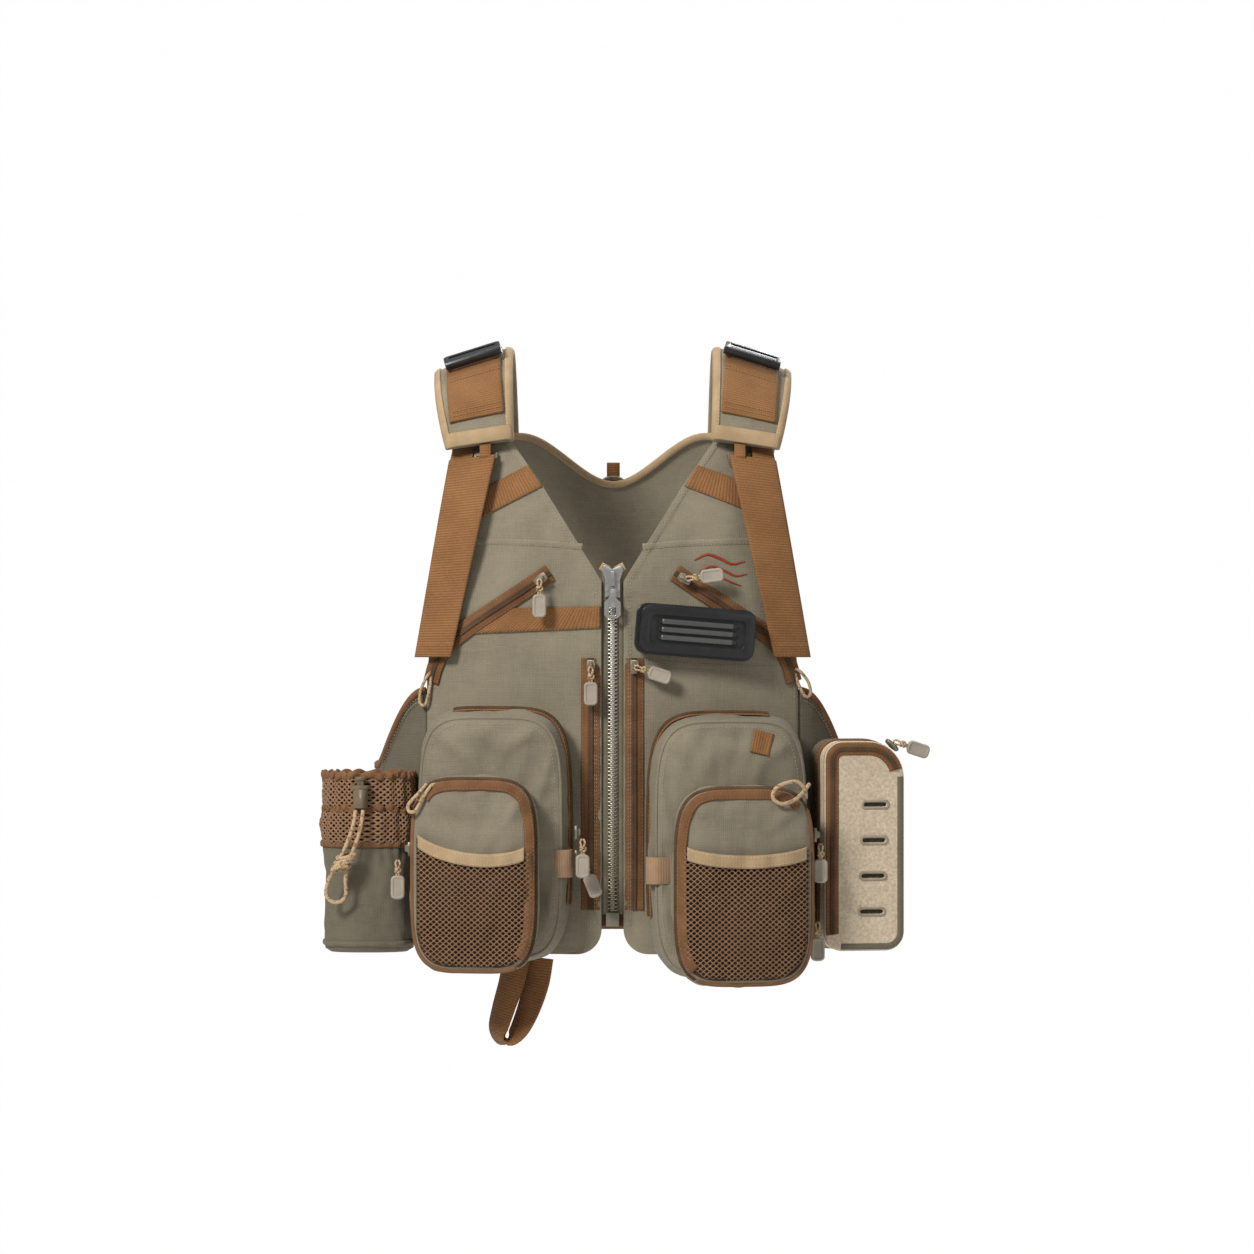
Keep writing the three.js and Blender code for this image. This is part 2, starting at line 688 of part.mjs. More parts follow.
const mainPullShape = new THREE.Shape();
mainPullShape.moveTo(-mainPull.neck / 2, 0);
mainPullShape.lineTo(-mainPull.neck / 2, -7);
mainPullShape.lineTo(-mainPull.width / 2, -11);
mainPullShape.lineTo(-mainPull.width / 2, -mainPull.length + 3);
mainPullShape.lineTo(-mainPull.width / 2 + 3, -mainPull.length);
mainPullShape.lineTo(mainPull.width / 2 - 3, -mainPull.length);
mainPullShape.lineTo(mainPull.width / 2, -mainPull.length + 3);
mainPullShape.lineTo(mainPull.width / 2, -11);
mainPullShape.lineTo(mainPull.neck / 2, -7);
mainPullShape.lineTo(mainPull.neck / 2, 0);
mainPullShape.holes.push(slotPath(mainPull.hole, mainPull.hole + 1, 0, -mainPull.length + 6));
const mainPullY = mainSliderY - mainSlider.plate - 3.4 - GAP;
add("main_pull", plate(mainPullShape, -mainPull.thickness, 0), "zipMetal", freeSeat(0, mainPullY, mainSliderZ - 6));

// ---------------------------------------------------------------- pockets

const cargoFoot = panel.thickness + LAYER_GAP;
const frontFoot = cargoFoot + cargo.depth + LAYER_GAP;

function pocket({ x, z, halfWidth, halfHeight }, square, foot, depth) {
  const profile = [
    [0, 0],
    [0.3, 0],
    [0.6, 0],
    [0.85, 0],
    [1, 0],
    [1, 0.72],
    [0.95, 0.93],
    [0.85, 1],
    [0.6, 1],
    [0.3, 1],
    [0, 1],
  ];
  const place = (px, pz, h) => onFront(x + px, z + pz, foot + h * depth);
  return pouch(reach(halfWidth, halfHeight, square), profile, place, 32);
}

for (const [name] of SIDES) {
  add(`cargo_pocket_${name}`, pocket(cargoPockets[name], cargo.square, cargoFoot, cargo.depth), "canvas");
  add(`front_pocket_${name}`, pocket(frontPockets[name], front.square, frontFoot, front.depth), "canvas");
}

// The pocket sliders stand on the pockets' side walls: their seats' Y points into the wall. Their pulls hang
// beside them, face on to the front, and lean by the roll.
const wallFoot = LAYER_GAP + GAP;

function wallZip(name, { x, halfWidth }, wallSide, z, d, { forward, below, roll }) {
  const wall = x + wallSide * halfWidth;
  const y = onFront(wall, z, d).y;
  const seat = freeSeat(wall + wallSide * wallFoot, y, z, wallSide * 90);
  add(`${name}_slider`, sliderBody(), "zipMetal", seat);
  const pivotX = wall + wallSide * (wallFoot + pivotLift + pull.stem / 2);
  add(`${name}_pull`, pullBody(), "rubber", freeSeat(pivotX, y - forward, z - below, 0, roll));
}

const { right: rightCargo, left: leftCargo } = cargoPockets;
const { right: rightFront, left: leftFront } = frontPockets;
wallZip("cargo_zip_right_upper", rightCargo, LEFT, -389, cargoFoot + 31, { forward: 5, below: 5, roll: 0 });
wallZip("cargo_zip_right_lower", rightCargo, LEFT, -409, cargoFoot + 20, { forward: 1, below: 3, roll: -22 });
wallZip("front_zip_right", rightFront, RIGHT, -402, frontFoot + 14, { forward: 0, below: 9, roll: 8 });
wallZip("front_zip_left", leftFront, LEFT, -391, frontFoot + 14, { forward: 0, below: 7, roll: 3 });
wallZip("cargo_zip_left", leftCargo, LEFT, -448, cargoFoot + 31, { forward: 13, below: 13, roll: -3 });

// ---------------------------------------------------------------- bottle pocket and its drawcord

const bottleMiddle = {
  x: -(panel.seam + LAYER_GAP + 8 + bottle.halfWidth),
  y: onFront(panel.seam + 20, bottle.bottom, wing.thickness).y - bottle.halfDepth - 1,
};
const bottleInner = 1 - bottle.wall / bottle.halfDepth;
const bottleBody = pouch(
  reach(bottle.halfWidth, bottle.halfDepth, bottle.square),
  [
    [0, bottle.bottom],
    [0.86, bottle.bottom],
    [1, bottle.bottom + 12],
    [1, bottle.top],
    [bottleInner, bottle.top],
    [bottleInner, bottle.bottom + 16],
    [0.8, bottle.bottom + bottle.wall + 2],
    [0, bottle.bottom + bottle.wall],
  ],
  (x, y, h) => new THREE.Vector3(bottleMiddle.x + x, bottleMiddle.y + y, h),
  28,
);
add("bottle_pocket", bottleBody, "canvas");

const lockY = bottleMiddle.y - bottle.halfDepth - GAP - cordLock.depth / 2;
const lockSeat = new THREE.Matrix4().makeTranslation(cordLock.x, lockY, cordLock.z);
const socket = 6.6;
const lockBarrel = new THREE.CylinderGeometry(1, 1, cordLock.height, 16)
  .rotateX(Math.PI / 2)
  .scale(cordLock.width / 2 - 1.5, cordLock.depth / 2, 1)
  .translate(0, 0, -cordLock.height / 2);
const lockFlange = new THREE.CylinderGeometry(1, 1, 3, 16)
  .rotateX(Math.PI / 2)
  .scale(cordLock.width / 2, cordLock.depth / 2, 1)
  .translate(0, 0, -1.5);
const lockSocket = box(socket, socket, 2 * cordLock.height - 10);
add("cord_lock_body", cut(join(lockBarrel, lockFlange), lockSocket), "olivePlastic", lockSeat);
const buttonStem = box(socket - 2 * GAP, socket - 2 * GAP, 8, 0, 0, 0);
const buttonCap = new THREE.CylinderGeometry(1, 1, 3, 16)
  .rotateX(Math.PI / 2)
  .scale(cordLock.button / 2, cordLock.button / 2 - 0.5, 1)
  .translate(0, 0, 4 + 1.4);
add("cord_lock_button", join(buttonStem, buttonCap), "olivePlastic", lockSeat);

// The drawcord: two strands from the lock down to a knot, and a small round loop under it.
const cordFront = lockY - cordLock.depth / 2 - GAP - cord.diameter / 2;
const drawcordRoute = [
  [-204.5, -371.5, 3],
  [-206.5, -384, 1],
  [-211, -397, 0.5],
  [-215.8, -408, 0.8],
  [-221.2, -418, 2],
  [-226.4, -428, 3.4],
  [-228.2, -437, 4.6],
  [-227.6, -440.1, 4.6],
  [-225.9, -442.7, 4.6],
  [-223.3, -444.4, 4.6],
  [-220.2, -445, 4.6],
  [-217.1, -444.4, 4.6],
  [-214.5, -442.7, 4.6],
  [-212.8, -440.1, 4.6],
  [-212.2, -437, 4.6],
  [-212.6, -428, 3.4],
  [-211.6, -417.5, 1.8],
  [-207.8, -407, 0.6],
  [-203.6, -396, 0.4],
  [-200.2, -384, 1],
  [-198.6, -371.5, 3],
].map(([x, z, inward]) => new THREE.Vector3(x, cordFront + inward, z));
const cordSection = new THREE.Shape().absarc(0, 0, cord.diameter / 2, 0, 2 * Math.PI);
const drawcord = new THREE.ExtrudeGeometry(cordSection, {
  steps: 40,
  curveSegments: 4,
  bevelEnabled: false,
  extrudePath: new THREE.CatmullRomCurve3(drawcordRoute),
});
add("bottle_drawcord", drawcord, "cord");

// ---------------------------------------------------------------- fly case

function caseShape(inset) {
  const [w, h] = [flyCase.width / 2 - inset, flyCase.height / 2 - inset];
  const small = flyCase.corner - inset;
  const large = 2 * flyCase.corner - inset;
  const shape = new THREE.Shape();
  shape.moveTo(-w + small, -h);
  shape.lineTo(w - small, -h);
  shape.absarc(w - small, -h + small, small, -Math.PI / 2, 0);
  shape.absarc(w - large, h - large, large, 0, Math.PI / 2);
  shape.absarc(-w + small, h - small, small, Math.PI / 2, Math.PI);
  shape.absarc(-w + small, -h + small, small, Math.PI, 1.5 * Math.PI);
  return shape;
}

const caseTurn = THREE.MathUtils.degToRad(flyCase.turn);
const caseInnerX = panel.seam + LAYER_GAP + 8.4; // where the case's back meets the wing
const caseBackY = onFront(caseInnerX, flyCase.topZ, wing.thickness).y - LAYER_GAP;
const caseMiddle = {
  x: caseInnerX + (flyCase.width / 2) * Math.cos(caseTurn) + flyCase.tray * Math.sin(caseTurn),
  y: caseBackY + (flyCase.width / 2) * Math.sin(caseTurn) - flyCase.tray * Math.cos(caseTurn),
  z: flyCase.topZ - flyCase.height / 2,
};
const caseSeat = freeSeat(caseMiddle.x, caseMiddle.y, caseMiddle.z, flyCase.turn);

const trayHollow = plate(caseShape(flyCase.wall), -1, flyCase.tray - flyCase.wall, 5);
const tray = cut(plate(caseShape(0), GAP / 2, flyCase.tray, 5), trayHollow);
add("fly_case_tray", tray, "canvas", caseSeat);

const foamDepth = 9;
const foamBack = flyCase.tray - flyCase.wall - GAP;
const foamSheet = plate(caseShape(flyCase.wall + GAP + 1), foamBack - foamDepth, foamBack, 5);
add("fly_case_foam", foamSheet, "foam", caseSeat);

const doorHollow = plate(caseShape(flyCase.wall), flyCase.wall - flyCase.door, 1, 5);
const slits = [0, 1, 2, 3].map((i) => {
  const z = flyCase.height / 2 - slit.first - 20 - i * slit.pitch;
  return box(slit.length, 3 * flyCase.wall, slit.width, slit.x - i, -flyCase.door, z);
});
const door = cut(plate(caseShape(0), -flyCase.door, -GAP / 2, 5), doorHollow, ...slits);
add("fly_case_door", door, "caseShell", caseSeat);

// The case's zip slider rides at the top outer corner, on the tray's side of the zip.
const caseZipAt = { x: flyCase.width / 2 - 8, y: 5, z: flyCase.height / 2 - 7 };
const casePullSeat = caseSeat
  .clone()
  .multiply(new THREE.Matrix4().makeTranslation(caseZipAt.x + 6, caseZipAt.y, caseZipAt.z + 6))
  .multiply(new THREE.Matrix4().makeRotationY(THREE.MathUtils.degToRad(-72)));
add("fly_case_pull", pullBody(), "rubber", casePullSeat);

// ---------------------------------------------------------------- chest dock

const dockLift = panel.thickness + LAYER_GAP + chestZip.coil + 3;
const dockSeat = frontSeat(dock.x, dock.z, dockLift, dock.roll);
const dockBase = plate(roundedShape(dock.width + 6, dock.height + 4, 9), 0, dock.base, 4);
add("chest_dock_base", dockBase, "blackPlastic", dockSeat);

const dockOuter = plate(roundedShape(dock.width, dock.height, 7), -dock.depth, -GAP / 2, 4);
const recessWidth = dock.width - 2 * dock.rim;
const recessHeight = dock.height - 2 * dock.rim;
const dockRecess = plate(
  roundedShape(recessWidth, recessHeight, 4),
  -dock.depth - 1,
  dock.recess - dock.depth,
  3,
);
const ribs = [-1, 0, 1].map((i) =>
  box(recessWidth - 14, dock.recess + 0.5, 2.6, 0, 0.75 + dock.recess / 2 - dock.depth, i * 6.4),
);
add("chest_dock", join(cut(dockOuter, dockRecess), ...ribs), "blackPlastic", dockSeat);

// ---------------------------------------------------------------- rod loop

const rodLoopTop = panel.bottom - 3;
const rodLoopLine = new THREE.CatmullRomCurve3(
  [
    [-77, 0],
    [-81, 0.3],
    [-87.5, 0.62],
    [-91, 0.86],
    [-85.5, 1],
    [-76.5, 0.9],
    [-68.5, 0.66],
    [-61.5, 0.32],
    [-58.5, 0],
  ].map(([x, share]) => {
    const z = rodLoopTop - share * rodLoop.drop;
    return new THREE.Vector3(x, onFront(x, z, 0).y - 6 * share, z);
  }),
);
const rodLoopBody = ribbon(
  rodLoopLine,
  (t) => new THREE.Vector3(0.5, -0.86, 0),
  () => rodLoop.width / 2,
  rodLoop.thickness,
  22,
);
add("rod_loop", rodLoopBody, "webbing");

export default vest;
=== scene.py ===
"""Fishing vest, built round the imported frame: fabric, trims, zips and hardware.

Pieces are laid out in millimetres on the same torso surfaces as the CAD model, and turned to metres when
their meshes are made. +Z is up, the front faces -Y and +X is the wearer's left.
"""

import math

import bmesh
import bpy
import numpy as np
from mathutils import Matrix, Vector


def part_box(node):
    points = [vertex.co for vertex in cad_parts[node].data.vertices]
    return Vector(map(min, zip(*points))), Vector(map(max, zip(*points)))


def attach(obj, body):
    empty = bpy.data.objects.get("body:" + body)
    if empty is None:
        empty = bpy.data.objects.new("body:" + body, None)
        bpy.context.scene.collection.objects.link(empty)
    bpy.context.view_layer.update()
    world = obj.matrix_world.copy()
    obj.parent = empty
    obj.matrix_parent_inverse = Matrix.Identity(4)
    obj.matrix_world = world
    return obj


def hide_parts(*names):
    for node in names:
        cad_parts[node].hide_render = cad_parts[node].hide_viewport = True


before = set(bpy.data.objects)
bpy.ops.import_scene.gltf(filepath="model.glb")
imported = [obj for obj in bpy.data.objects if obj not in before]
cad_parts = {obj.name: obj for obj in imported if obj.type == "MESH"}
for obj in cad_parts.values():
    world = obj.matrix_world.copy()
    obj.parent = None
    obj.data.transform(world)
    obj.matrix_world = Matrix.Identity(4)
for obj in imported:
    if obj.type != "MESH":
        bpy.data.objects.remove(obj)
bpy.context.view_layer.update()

MM = 0.001
TAU = 2 * math.pi
SIDES = (("right", -1), ("left", 1))
scene = bpy.context.scene


# ------------------------------------------------------------------ camera, lights and floor

VIEW_CENTRE = (11.6, -225.6)  # x and z at the middle of the picture, in mm
VIEW_WIDTH = 1003.2
VIEW_DISTANCE = 4000.0
VIEW_PLANE_Y = -130.0


def make_camera():
    data = bpy.data.cameras.new("camera")
    data.sensor_width = 36.0
    data.lens = data.sensor_width * (VIEW_DISTANCE + VIEW_PLANE_Y) / VIEW_WIDTH
    data.clip_end = 50
    camera = bpy.data.objects.new("camera", data)
    camera.location = (VIEW_CENTRE[0] * MM, -VIEW_DISTANCE * MM, VIEW_CENTRE[1] * MM)
    camera.rotation_euler = (math.radians(90), 0, 0)
    scene.collection.objects.link(camera)
    scene.camera = camera


def area_light(name, at, aim, size, power, color=(1, 1, 1)):
    data = bpy.data.lights.new(name, "AREA")
    data.shape = "SQUARE"
    data.size = size
    data.energy = power
    data.color = color
    lamp = bpy.data.objects.new(name, data)
    lamp.location = at
    lamp.rotation_euler = (Vector(aim) - Vector(at)).to_track_quat("-Z", "Y").to_euler()
    scene.collection.objects.link(lamp)


def make_studio():
    world = bpy.data.worlds.new("studio")
    world.use_nodes = True
    background = world.node_tree.nodes["Background"]
    background.inputs["Color"].default_value = (0.985, 0.99, 1.0, 1)
    background.inputs["Strength"].default_value = 0.34
    scene.world = world
    area_light("key", (-1.7, -2.5, 1.7), (0, 0, -0.3), 0.8, 122, (1, 0.985, 0.965))
    area_light("fill", (2.0, -2.4, 0.3), (0, 0, -0.3), 1.6, 8)
    area_light("top", (0.0, 0.3, 2.0), (0, 0, -0.2), 1.2, 26)
    area_light("back", (1.0, 2.6, 0.9), (0, 0, -0.2), 1.4, 60)


def stage_plane(name, verts, colour, glow):
    data = bpy.data.meshes.new(name)
    data.from_pydata(verts, [], [(0, 1, 2, 3)])
    plane = bpy.data.objects.new(name, data)
    material = bpy.data.materials.new(name)
    material.use_nodes = True
    shader = material.node_tree.nodes["Principled BSDF"]
    shader.inputs["Base Color"].default_value = colour
    shader.inputs["Roughness"].default_value = 0.9
    shader.inputs["Emission Color"].default_value = (1, 1, 1, 1)
    shader.inputs["Emission Strength"].default_value = glow
    data.materials.append(material)
    scene.collection.objects.link(plane)


def make_floor():
    """A pale floor below the picture, and a lit backdrop far behind the vest."""
    stage_plane(
        "floor", [(-8, -8, -2.1), (8, -8, -2.1), (8, 8, -2.1), (-8, 8, -2.1)], (0.9, 0.9, 0.9, 1), 0.12,
    )
    stage_plane("backdrop", [(-2.4, 7, -2), (2.4, 7, -2), (2.4, 7, 1.6), (-2.4, 7, 1.6)], (0, 0, 0, 1), 0.985)


make_camera()
make_studio()
make_floor()


# ------------------------------------------------------------------ the torso's surfaces, in mm

def unit(vectors):
    """The same directions, one long."""
    return vectors / np.linalg.norm(vectors, axis=-1, keepdims=True)


def grids(*values):
    """Numbers and arrays, spread to one shared shape."""
    return np.broadcast_arrays(*(np.asarray(value, float) for value in values))


HALF_WIDTH, FRONT_DEPTH, BACK_DEPTH, SQUARE = 192.0, 118.0, 112.0, 2.5


def front_depth(z):
    return FRONT_DEPTH - 0.00304 * np.maximum(0, np.asarray(z, float) + 170) ** 2


def back_depth(z):
    return BACK_DEPTH - 0.0022 * np.maximum(0, np.asarray(z, float) + 190) ** 2


def depth_at(x, half_width, depth):
    share = np.clip(np.abs(x) / half_width, 0, 1)
    return depth * (1 - share**SQUARE) ** (1 / SQUARE)


def on_front(x, z, d):
    x, z, d = grids(x, z, d)
    return np.stack([x, -depth_at(x, HALF_WIDTH + d, front_depth(z) + d), z], -1)


def on_back(x, z, d):
    x, z, d = grids(x, z, d)
    return np.stack([x, depth_at(x, HALF_WIDTH + d, back_depth(z) + d), z], -1)


def on_flank(side, angle, z, d):
    """The flank: angle 0 is the side, and it is negative towards the front."""
    angle, z, d = grids(angle, z, d)
    depth = np.where(angle < 0, front_depth(z), back_depth(z)) + d
    x = side * (HALF_WIDTH + d) * np.cos(angle) ** (2 / SQUARE)
    y = np.sign(angle) * depth * np.abs(np.sin(angle)) ** (2 / SQUARE)
    return np.stack([x, y, z], -1)


def flank_angle(x, d):
    return np.arccos((x / (HALF_WIDTH + d)) ** (SQUARE / 2))


PAD_LINE = np.array(
    [
        (-97, -80), (-90, -60), (-77, -42), (-57, -26), (-30, -15), (0, -12), (28, -16), (52, -30), (74, -54),
        (90, -84),
    ],
    float,
)


def catmull(points, t):
    """A centripetal-like Catmull-Rom spline through the points, and its slope, at t from 0 to 1."""
    points = np.asarray(points, float)
    count = len(points)
    padded = np.vstack([2 * points[0] - points[1], points, 2 * points[-1] - points[-2]])
    place = np.clip(np.asarray(t, float), 0, 1) * (count - 1)
    i = np.minimum(place.astype(int), count - 2)
    u = (place - i)[..., None]
    p0, p1, p2, p3 = (padded[i + k] for k in range(4))
    value = 0.5 * (
        2 * p1 + (p2 - p0) * u + (2 * p0 - 5 * p1 + 4 * p2 - p3) * u**2 + (3 * p1 - p0 - 3 * p2 + p3) * u**3
    )
    slope = 0.5 * (
        (p2 - p0) + 2 * (2 * p0 - 5 * p1 + 4 * p2 - p3) * u + 3 * (3 * p1 - p0 - 3 * p2 + p3) * u**2
    )
    return value, slope


def on_pad(side, s, w, d):
    """A point on a shoulder pad: s from its front end to its back end, w from its inner to its outer edge."""
    s, w, d = grids(s, w, d)
    top = 4 * s * (1 - s)
    offset = w * (27 + 5 * top)
    middle, slope = catmull(PAD_LINE, s)
    slope = unit(slope)
    y = middle[..., 0] - slope[..., 1] * d
    z = middle[..., 1] + slope[..., 0] * d
    tilt = 0.13 + 0.19 * top
    return np.stack([side * (107 + 7 * top + offset), y, z - tilt * offset], -1)


# ------------------------------------------------------------------ mesh helpers


def smoothstep(x, low, high):
    t = np.clip((np.asarray(x, float) - low) / (high - low), 0, 1)
    return t * t * (3 - 2 * t)


def ripple(points, size, seed, octaves=3):
    """Smooth seeded noise of about -1 to 1 whose largest waves are about size mm long."""
    rng = np.random.default_rng(seed)
    total = np.zeros(points.shape[:-1])
    for octave in range(octaves):
        for _ in range(5):
            direction = rng.normal(size=3)
            direction /= np.linalg.norm(direction)
            wave = TAU * 2**octave / size * rng.uniform(0.7, 1.3)
            total += np.sin(points @ direction * wave + rng.uniform(0, TAU)) * 0.5**octave / 2.2
    return total


def grid_faces(nu, nv, wrap_u=False, start=0, flip=False):
    """Quads of a grid of nv rows and nu columns."""
    rows, cols = np.meshgrid(np.arange(nv - 1), np.arange(nu if wrap_u else nu - 1), indexing="ij")
    nxt = (cols + 1) % nu
    quad = np.stack([rows * nu + cols, rows * nu + nxt, (rows + 1) * nu + nxt, (rows + 1) * nu + cols], -1)
    quad = quad.reshape(-1, 4) + start
    return quad[:, ::-1] if flip else quad


class Soup:
    """Collects vertices and faces of many small shapes, for one object."""

    def __init__(self):
        self.verts, self.faces, self.uvs, self.count = [], [], [], 0

    def add(self, verts, faces, uvs=None):
        verts = np.asarray(verts, float).reshape(-1, 3)
        self.verts.append(verts)
        self.faces.append([tuple(int(i) + self.count for i in face) for face in faces])
        self.uvs.append(np.zeros((len(verts), 2)) if uvs is None else np.asarray(uvs, float).reshape(-1, 2))
        self.count += len(verts)

    def build(self, name, material, smooth=True):
        verts = np.vstack(self.verts)
        faces = [face for group in self.faces for face in group]
        return mesh_object(name, verts, faces, material, np.vstack(self.uvs), smooth)


def mesh_object(name, verts, faces, material, uvs=None, smooth=True):
    data = bpy.data.meshes.new(name)
    faces = [tuple(int(i) for i in face) for face in faces]
    data.from_pydata((np.asarray(verts, float) * MM).tolist(), [], faces)
    if uvs is not None:
        layer = data.uv_layers.new(name="UVMap")
        loops = np.empty(len(data.loops), dtype=np.int32)
        data.loops.foreach_get("vertex_index", loops)
        layer.data.foreach_set("uv", (np.asarray(uvs) * MM)[loops].astype(np.float32).ravel())
    data.polygons.foreach_set("use_smooth", [smooth] * len(data.polygons))
    if material is not None:
        data.materials.append(material)
    obj = bpy.data.objects.new(name, data)
    scene.collection.objects.link(obj)
    return obj


def turn_out(obj):
    """Makes the faces of a closed mesh point outwards."""
    bm = bmesh.new()
    bm.from_mesh(obj.data)
    bmesh.ops.recalc_face_normals(bm, faces=bm.faces)
    bm.to_mesh(obj.data)
    bm.free()
    return obj


def apply_modifiers(obj):
    graph = bpy.context.evaluated_depsgraph_get()
    data = bpy.data.meshes.new_from_object(obj.evaluated_get(graph), depsgraph=graph)
    old = obj.data
    obj.modifiers.clear()
    obj.data = data
    bpy.data.meshes.remove(old)
    data.name = obj.name
    return obj


def lengths_along(points):
    steps = np.linalg.norm(np.diff(points, axis=0), axis=-1)
    return np.concatenate([[0], np.cumsum(steps)])


def sampled(values, along, at):
    """Rows of values, given at the distances along, read off at other distances."""
    return np.stack([np.interp(at, along, values[:, k]) for k in range(values.shape[1])], -1)


def resample(points, spacing, closed=False):
    points = np.asarray(points, float)
    if closed:
        points = np.vstack([points, points[:1]])
    along = lengths_along(points)
    count = max(2, int(round(along[-1] / spacing)) + 1)
    at = np.linspace(0, along[-1], count)
    out = sampled(points, along, at)
    return out[:-1] if closed else out


def curve_through(points, spacing, closed=False):
    """A smooth line through given points, evenly resampled."""
    points = np.asarray(points, float)
    if closed:
        ring = np.vstack([points[-2:], points, points[:3]])
        t = np.linspace(2 / (len(ring) - 1), (2 + len(points)) / (len(ring) - 1), 40 * len(points))
        line = catmull(ring, t)[0][:-1]
    else:
        line = catmull(points, np.linspace(0, 1, 30 * len(points)))[0]
    return resample(line, spacing, closed)


def tangents(points, closed=False):
    if closed:
        t = np.roll(points, -1, axis=0) - np.roll(points, 1, axis=0)
    else:
        t = np.gradient(points, axis=0)
    return t / np.maximum(np.linalg.norm(t, axis=-1, keepdims=True), 1e-9)


def transport(points, closed=False):
    """Side vectors that turn as little as they can along a line."""
    t = tangents(points, closed)
    side = np.cross(t[0], (0.31, 0.17, 0.93))
    if np.linalg.norm(side) < 0.1:
        side = np.cross(t[0], (1, 0, 0))
    sides = []
    for tangent in t:
        side = side - tangent * side.dot(tangent)
        side = side / np.linalg.norm(side)
        sides.append(side)
    sides = np.array(sides)
    if closed:
        # spread the leftover twist evenly, so that the ends meet
        last = sides[-1] - t[0] * sides[-1].dot(t[0])
        last /= np.linalg.norm(last)
        twist = math.atan2(np.dot(np.cross(last, sides[0]), t[0]), last.dot(sides[0]))
        angles = np.linspace(0, twist, len(points))[:, None]
        sides = sides * np.cos(angles) + np.cross(t, sides) * np.sin(angles)
    return sides


def sweep(soup, points, normals, profile, closed=False):
    """Sweeps a profile of (sideways, outwards) points along a line whose outward normals are given."""
    points = np.asarray(points, float)
    t = tangents(points, closed)
    normals = normals - t * np.sum(normals * t, -1, keepdims=True)
    normals = unit(normals)
    sides = np.cross(t, normals)
    profile = np.asarray(profile, float)
    if profile.ndim == 2:
        profile = np.broadcast_to(profile, (len(points), *profile.shape))
    rings = points[:, None] + sides[:, None] * profile[..., :1] + normals[:, None] * profile[..., 1:]
    n, m = rings.shape[:2]
    along = lengths_along(points)
    across = np.concatenate([[0], np.cumsum(np.linalg.norm(np.diff(profile[0], axis=0), axis=-1))])
    uv = np.stack(np.broadcast_arrays(across[None, :], along[:, None]), -1)
    faces = []
    rows = n if closed else n - 1
    for i in range(rows):
        j = (i + 1) % n
        for k in range(m):
            q = (k + 1) % m
            faces.append((i * m + k, i * m + q, j * m + q, j * m + k))
    if not closed:
        faces.append(tuple(range(m))[::-1])
        faces.append(tuple((n - 1) * m + k for k in range(m)))
    soup.add(rings, faces, uv)


def swept(points, normals, profile, closed=False):
    """A swept profile, in a soup of its own."""
    soup = Soup()
    sweep(soup, points, normals, profile, closed)
    return soup


def round_profile(half_width, half_height, count=10, lift=0.0):
    a = np.linspace(0, TAU, count, endpoint=False)
    return np.stack([half_width * np.cos(a), half_height * np.sin(a) + lift], -1)


def tube(soup, points, radius, sides=8, closed=False):
    points = np.asarray(points, float)
    sweep(soup, points, transport(points, closed), round_profile(radius, radius, sides), closed)


def band_profile(width, thickness, edge=0.35):
    """A flat band whose foot is at height 0, with its top edges eased."""
    w, e = width / 2, min(edge, thickness / 2)
    return [(-w, 0), (w, 0), (w, thickness - e), (w - e, thickness), (-w + e, thickness), (-w, thickness - e)]


def ridge_profile(width, height, count=7):
    """A low rounded ridge that stands on the surface, as piping or a folded binding does."""
    a = np.linspace(0, math.pi, count)
    top = np.stack([width / 2 * np.cos(a), height * np.sin(a)], -1)
    return np.vstack([top, [(-width / 2, -0.6), (width / 2, -0.6)]])


def surface_line(surface, flat, d):
    """A line on a surface function of (x, z, d): its points and its outward normals."""
    flat = np.asarray(flat, float)
    at = surface(flat[:, 0], flat[:, 1], d)
    across = surface(flat[:, 0] + 0.5, flat[:, 1], d) - surface(flat[:, 0] - 0.5, flat[:, 1], d)
    up = surface(flat[:, 0], flat[:, 1] + 0.5, d) - surface(flat[:, 0], flat[:, 1] - 0.5, d)
    normal = np.cross(across, up)
    normal = unit(normal)
    outward = surface(flat[:, 0], flat[:, 1], np.asarray(d) + 1.0) - at
    flip = np.sign(np.sum(normal * outward, -1, keepdims=True))
    return at, normal * flip


def stitch_run(
    soup, points, normals, pitch=3.4, length=2.3, radius=0.32, offset=0.0, lift=0.15, closed=False,
):
    """A row of short raised stitches beside a line."""
    points = np.asarray(points, float)
    t = tangents(points, closed)
    side = np.cross(t, normals)
    line = points + side * offset + normals * lift
    along = lengths_along(line)
    count = int(along[-1] / pitch)
    if count < 1:
        return
    at = (np.arange(count) + 0.5) * pitch
    centre, forward, up = (sampled(values, along, at) for values in (line, t, normals))
    forward = unit(forward)
    up = unit(up)
    sideways = np.cross(forward, up)
    ring = [(-0.5, 0.35, -0.2), (-0.28, 1, 0.0), (0.28, 1, 0.0), (0.5, 0.35, -0.2)]
    angles = np.linspace(0, TAU, 5, endpoint=False)
    shape = np.array([(f * length, r * radius * math.cos(a), r * radius * math.sin(a) + dip * radius * 4)
                      for f, r, dip in ring for a in angles])
    faces = grid_faces(5, 4, wrap_u=True).tolist() + [(4, 3, 2, 1, 0), (15, 16, 17, 18, 19)]
    for c, f, s, n in zip(centre, forward, sideways, up):
        soup.add(c + shape[:, :1] * f + shape[:, 1:2] * s + shape[:, 2:] * n, faces)


# ------------------------------------------------------------------ materials


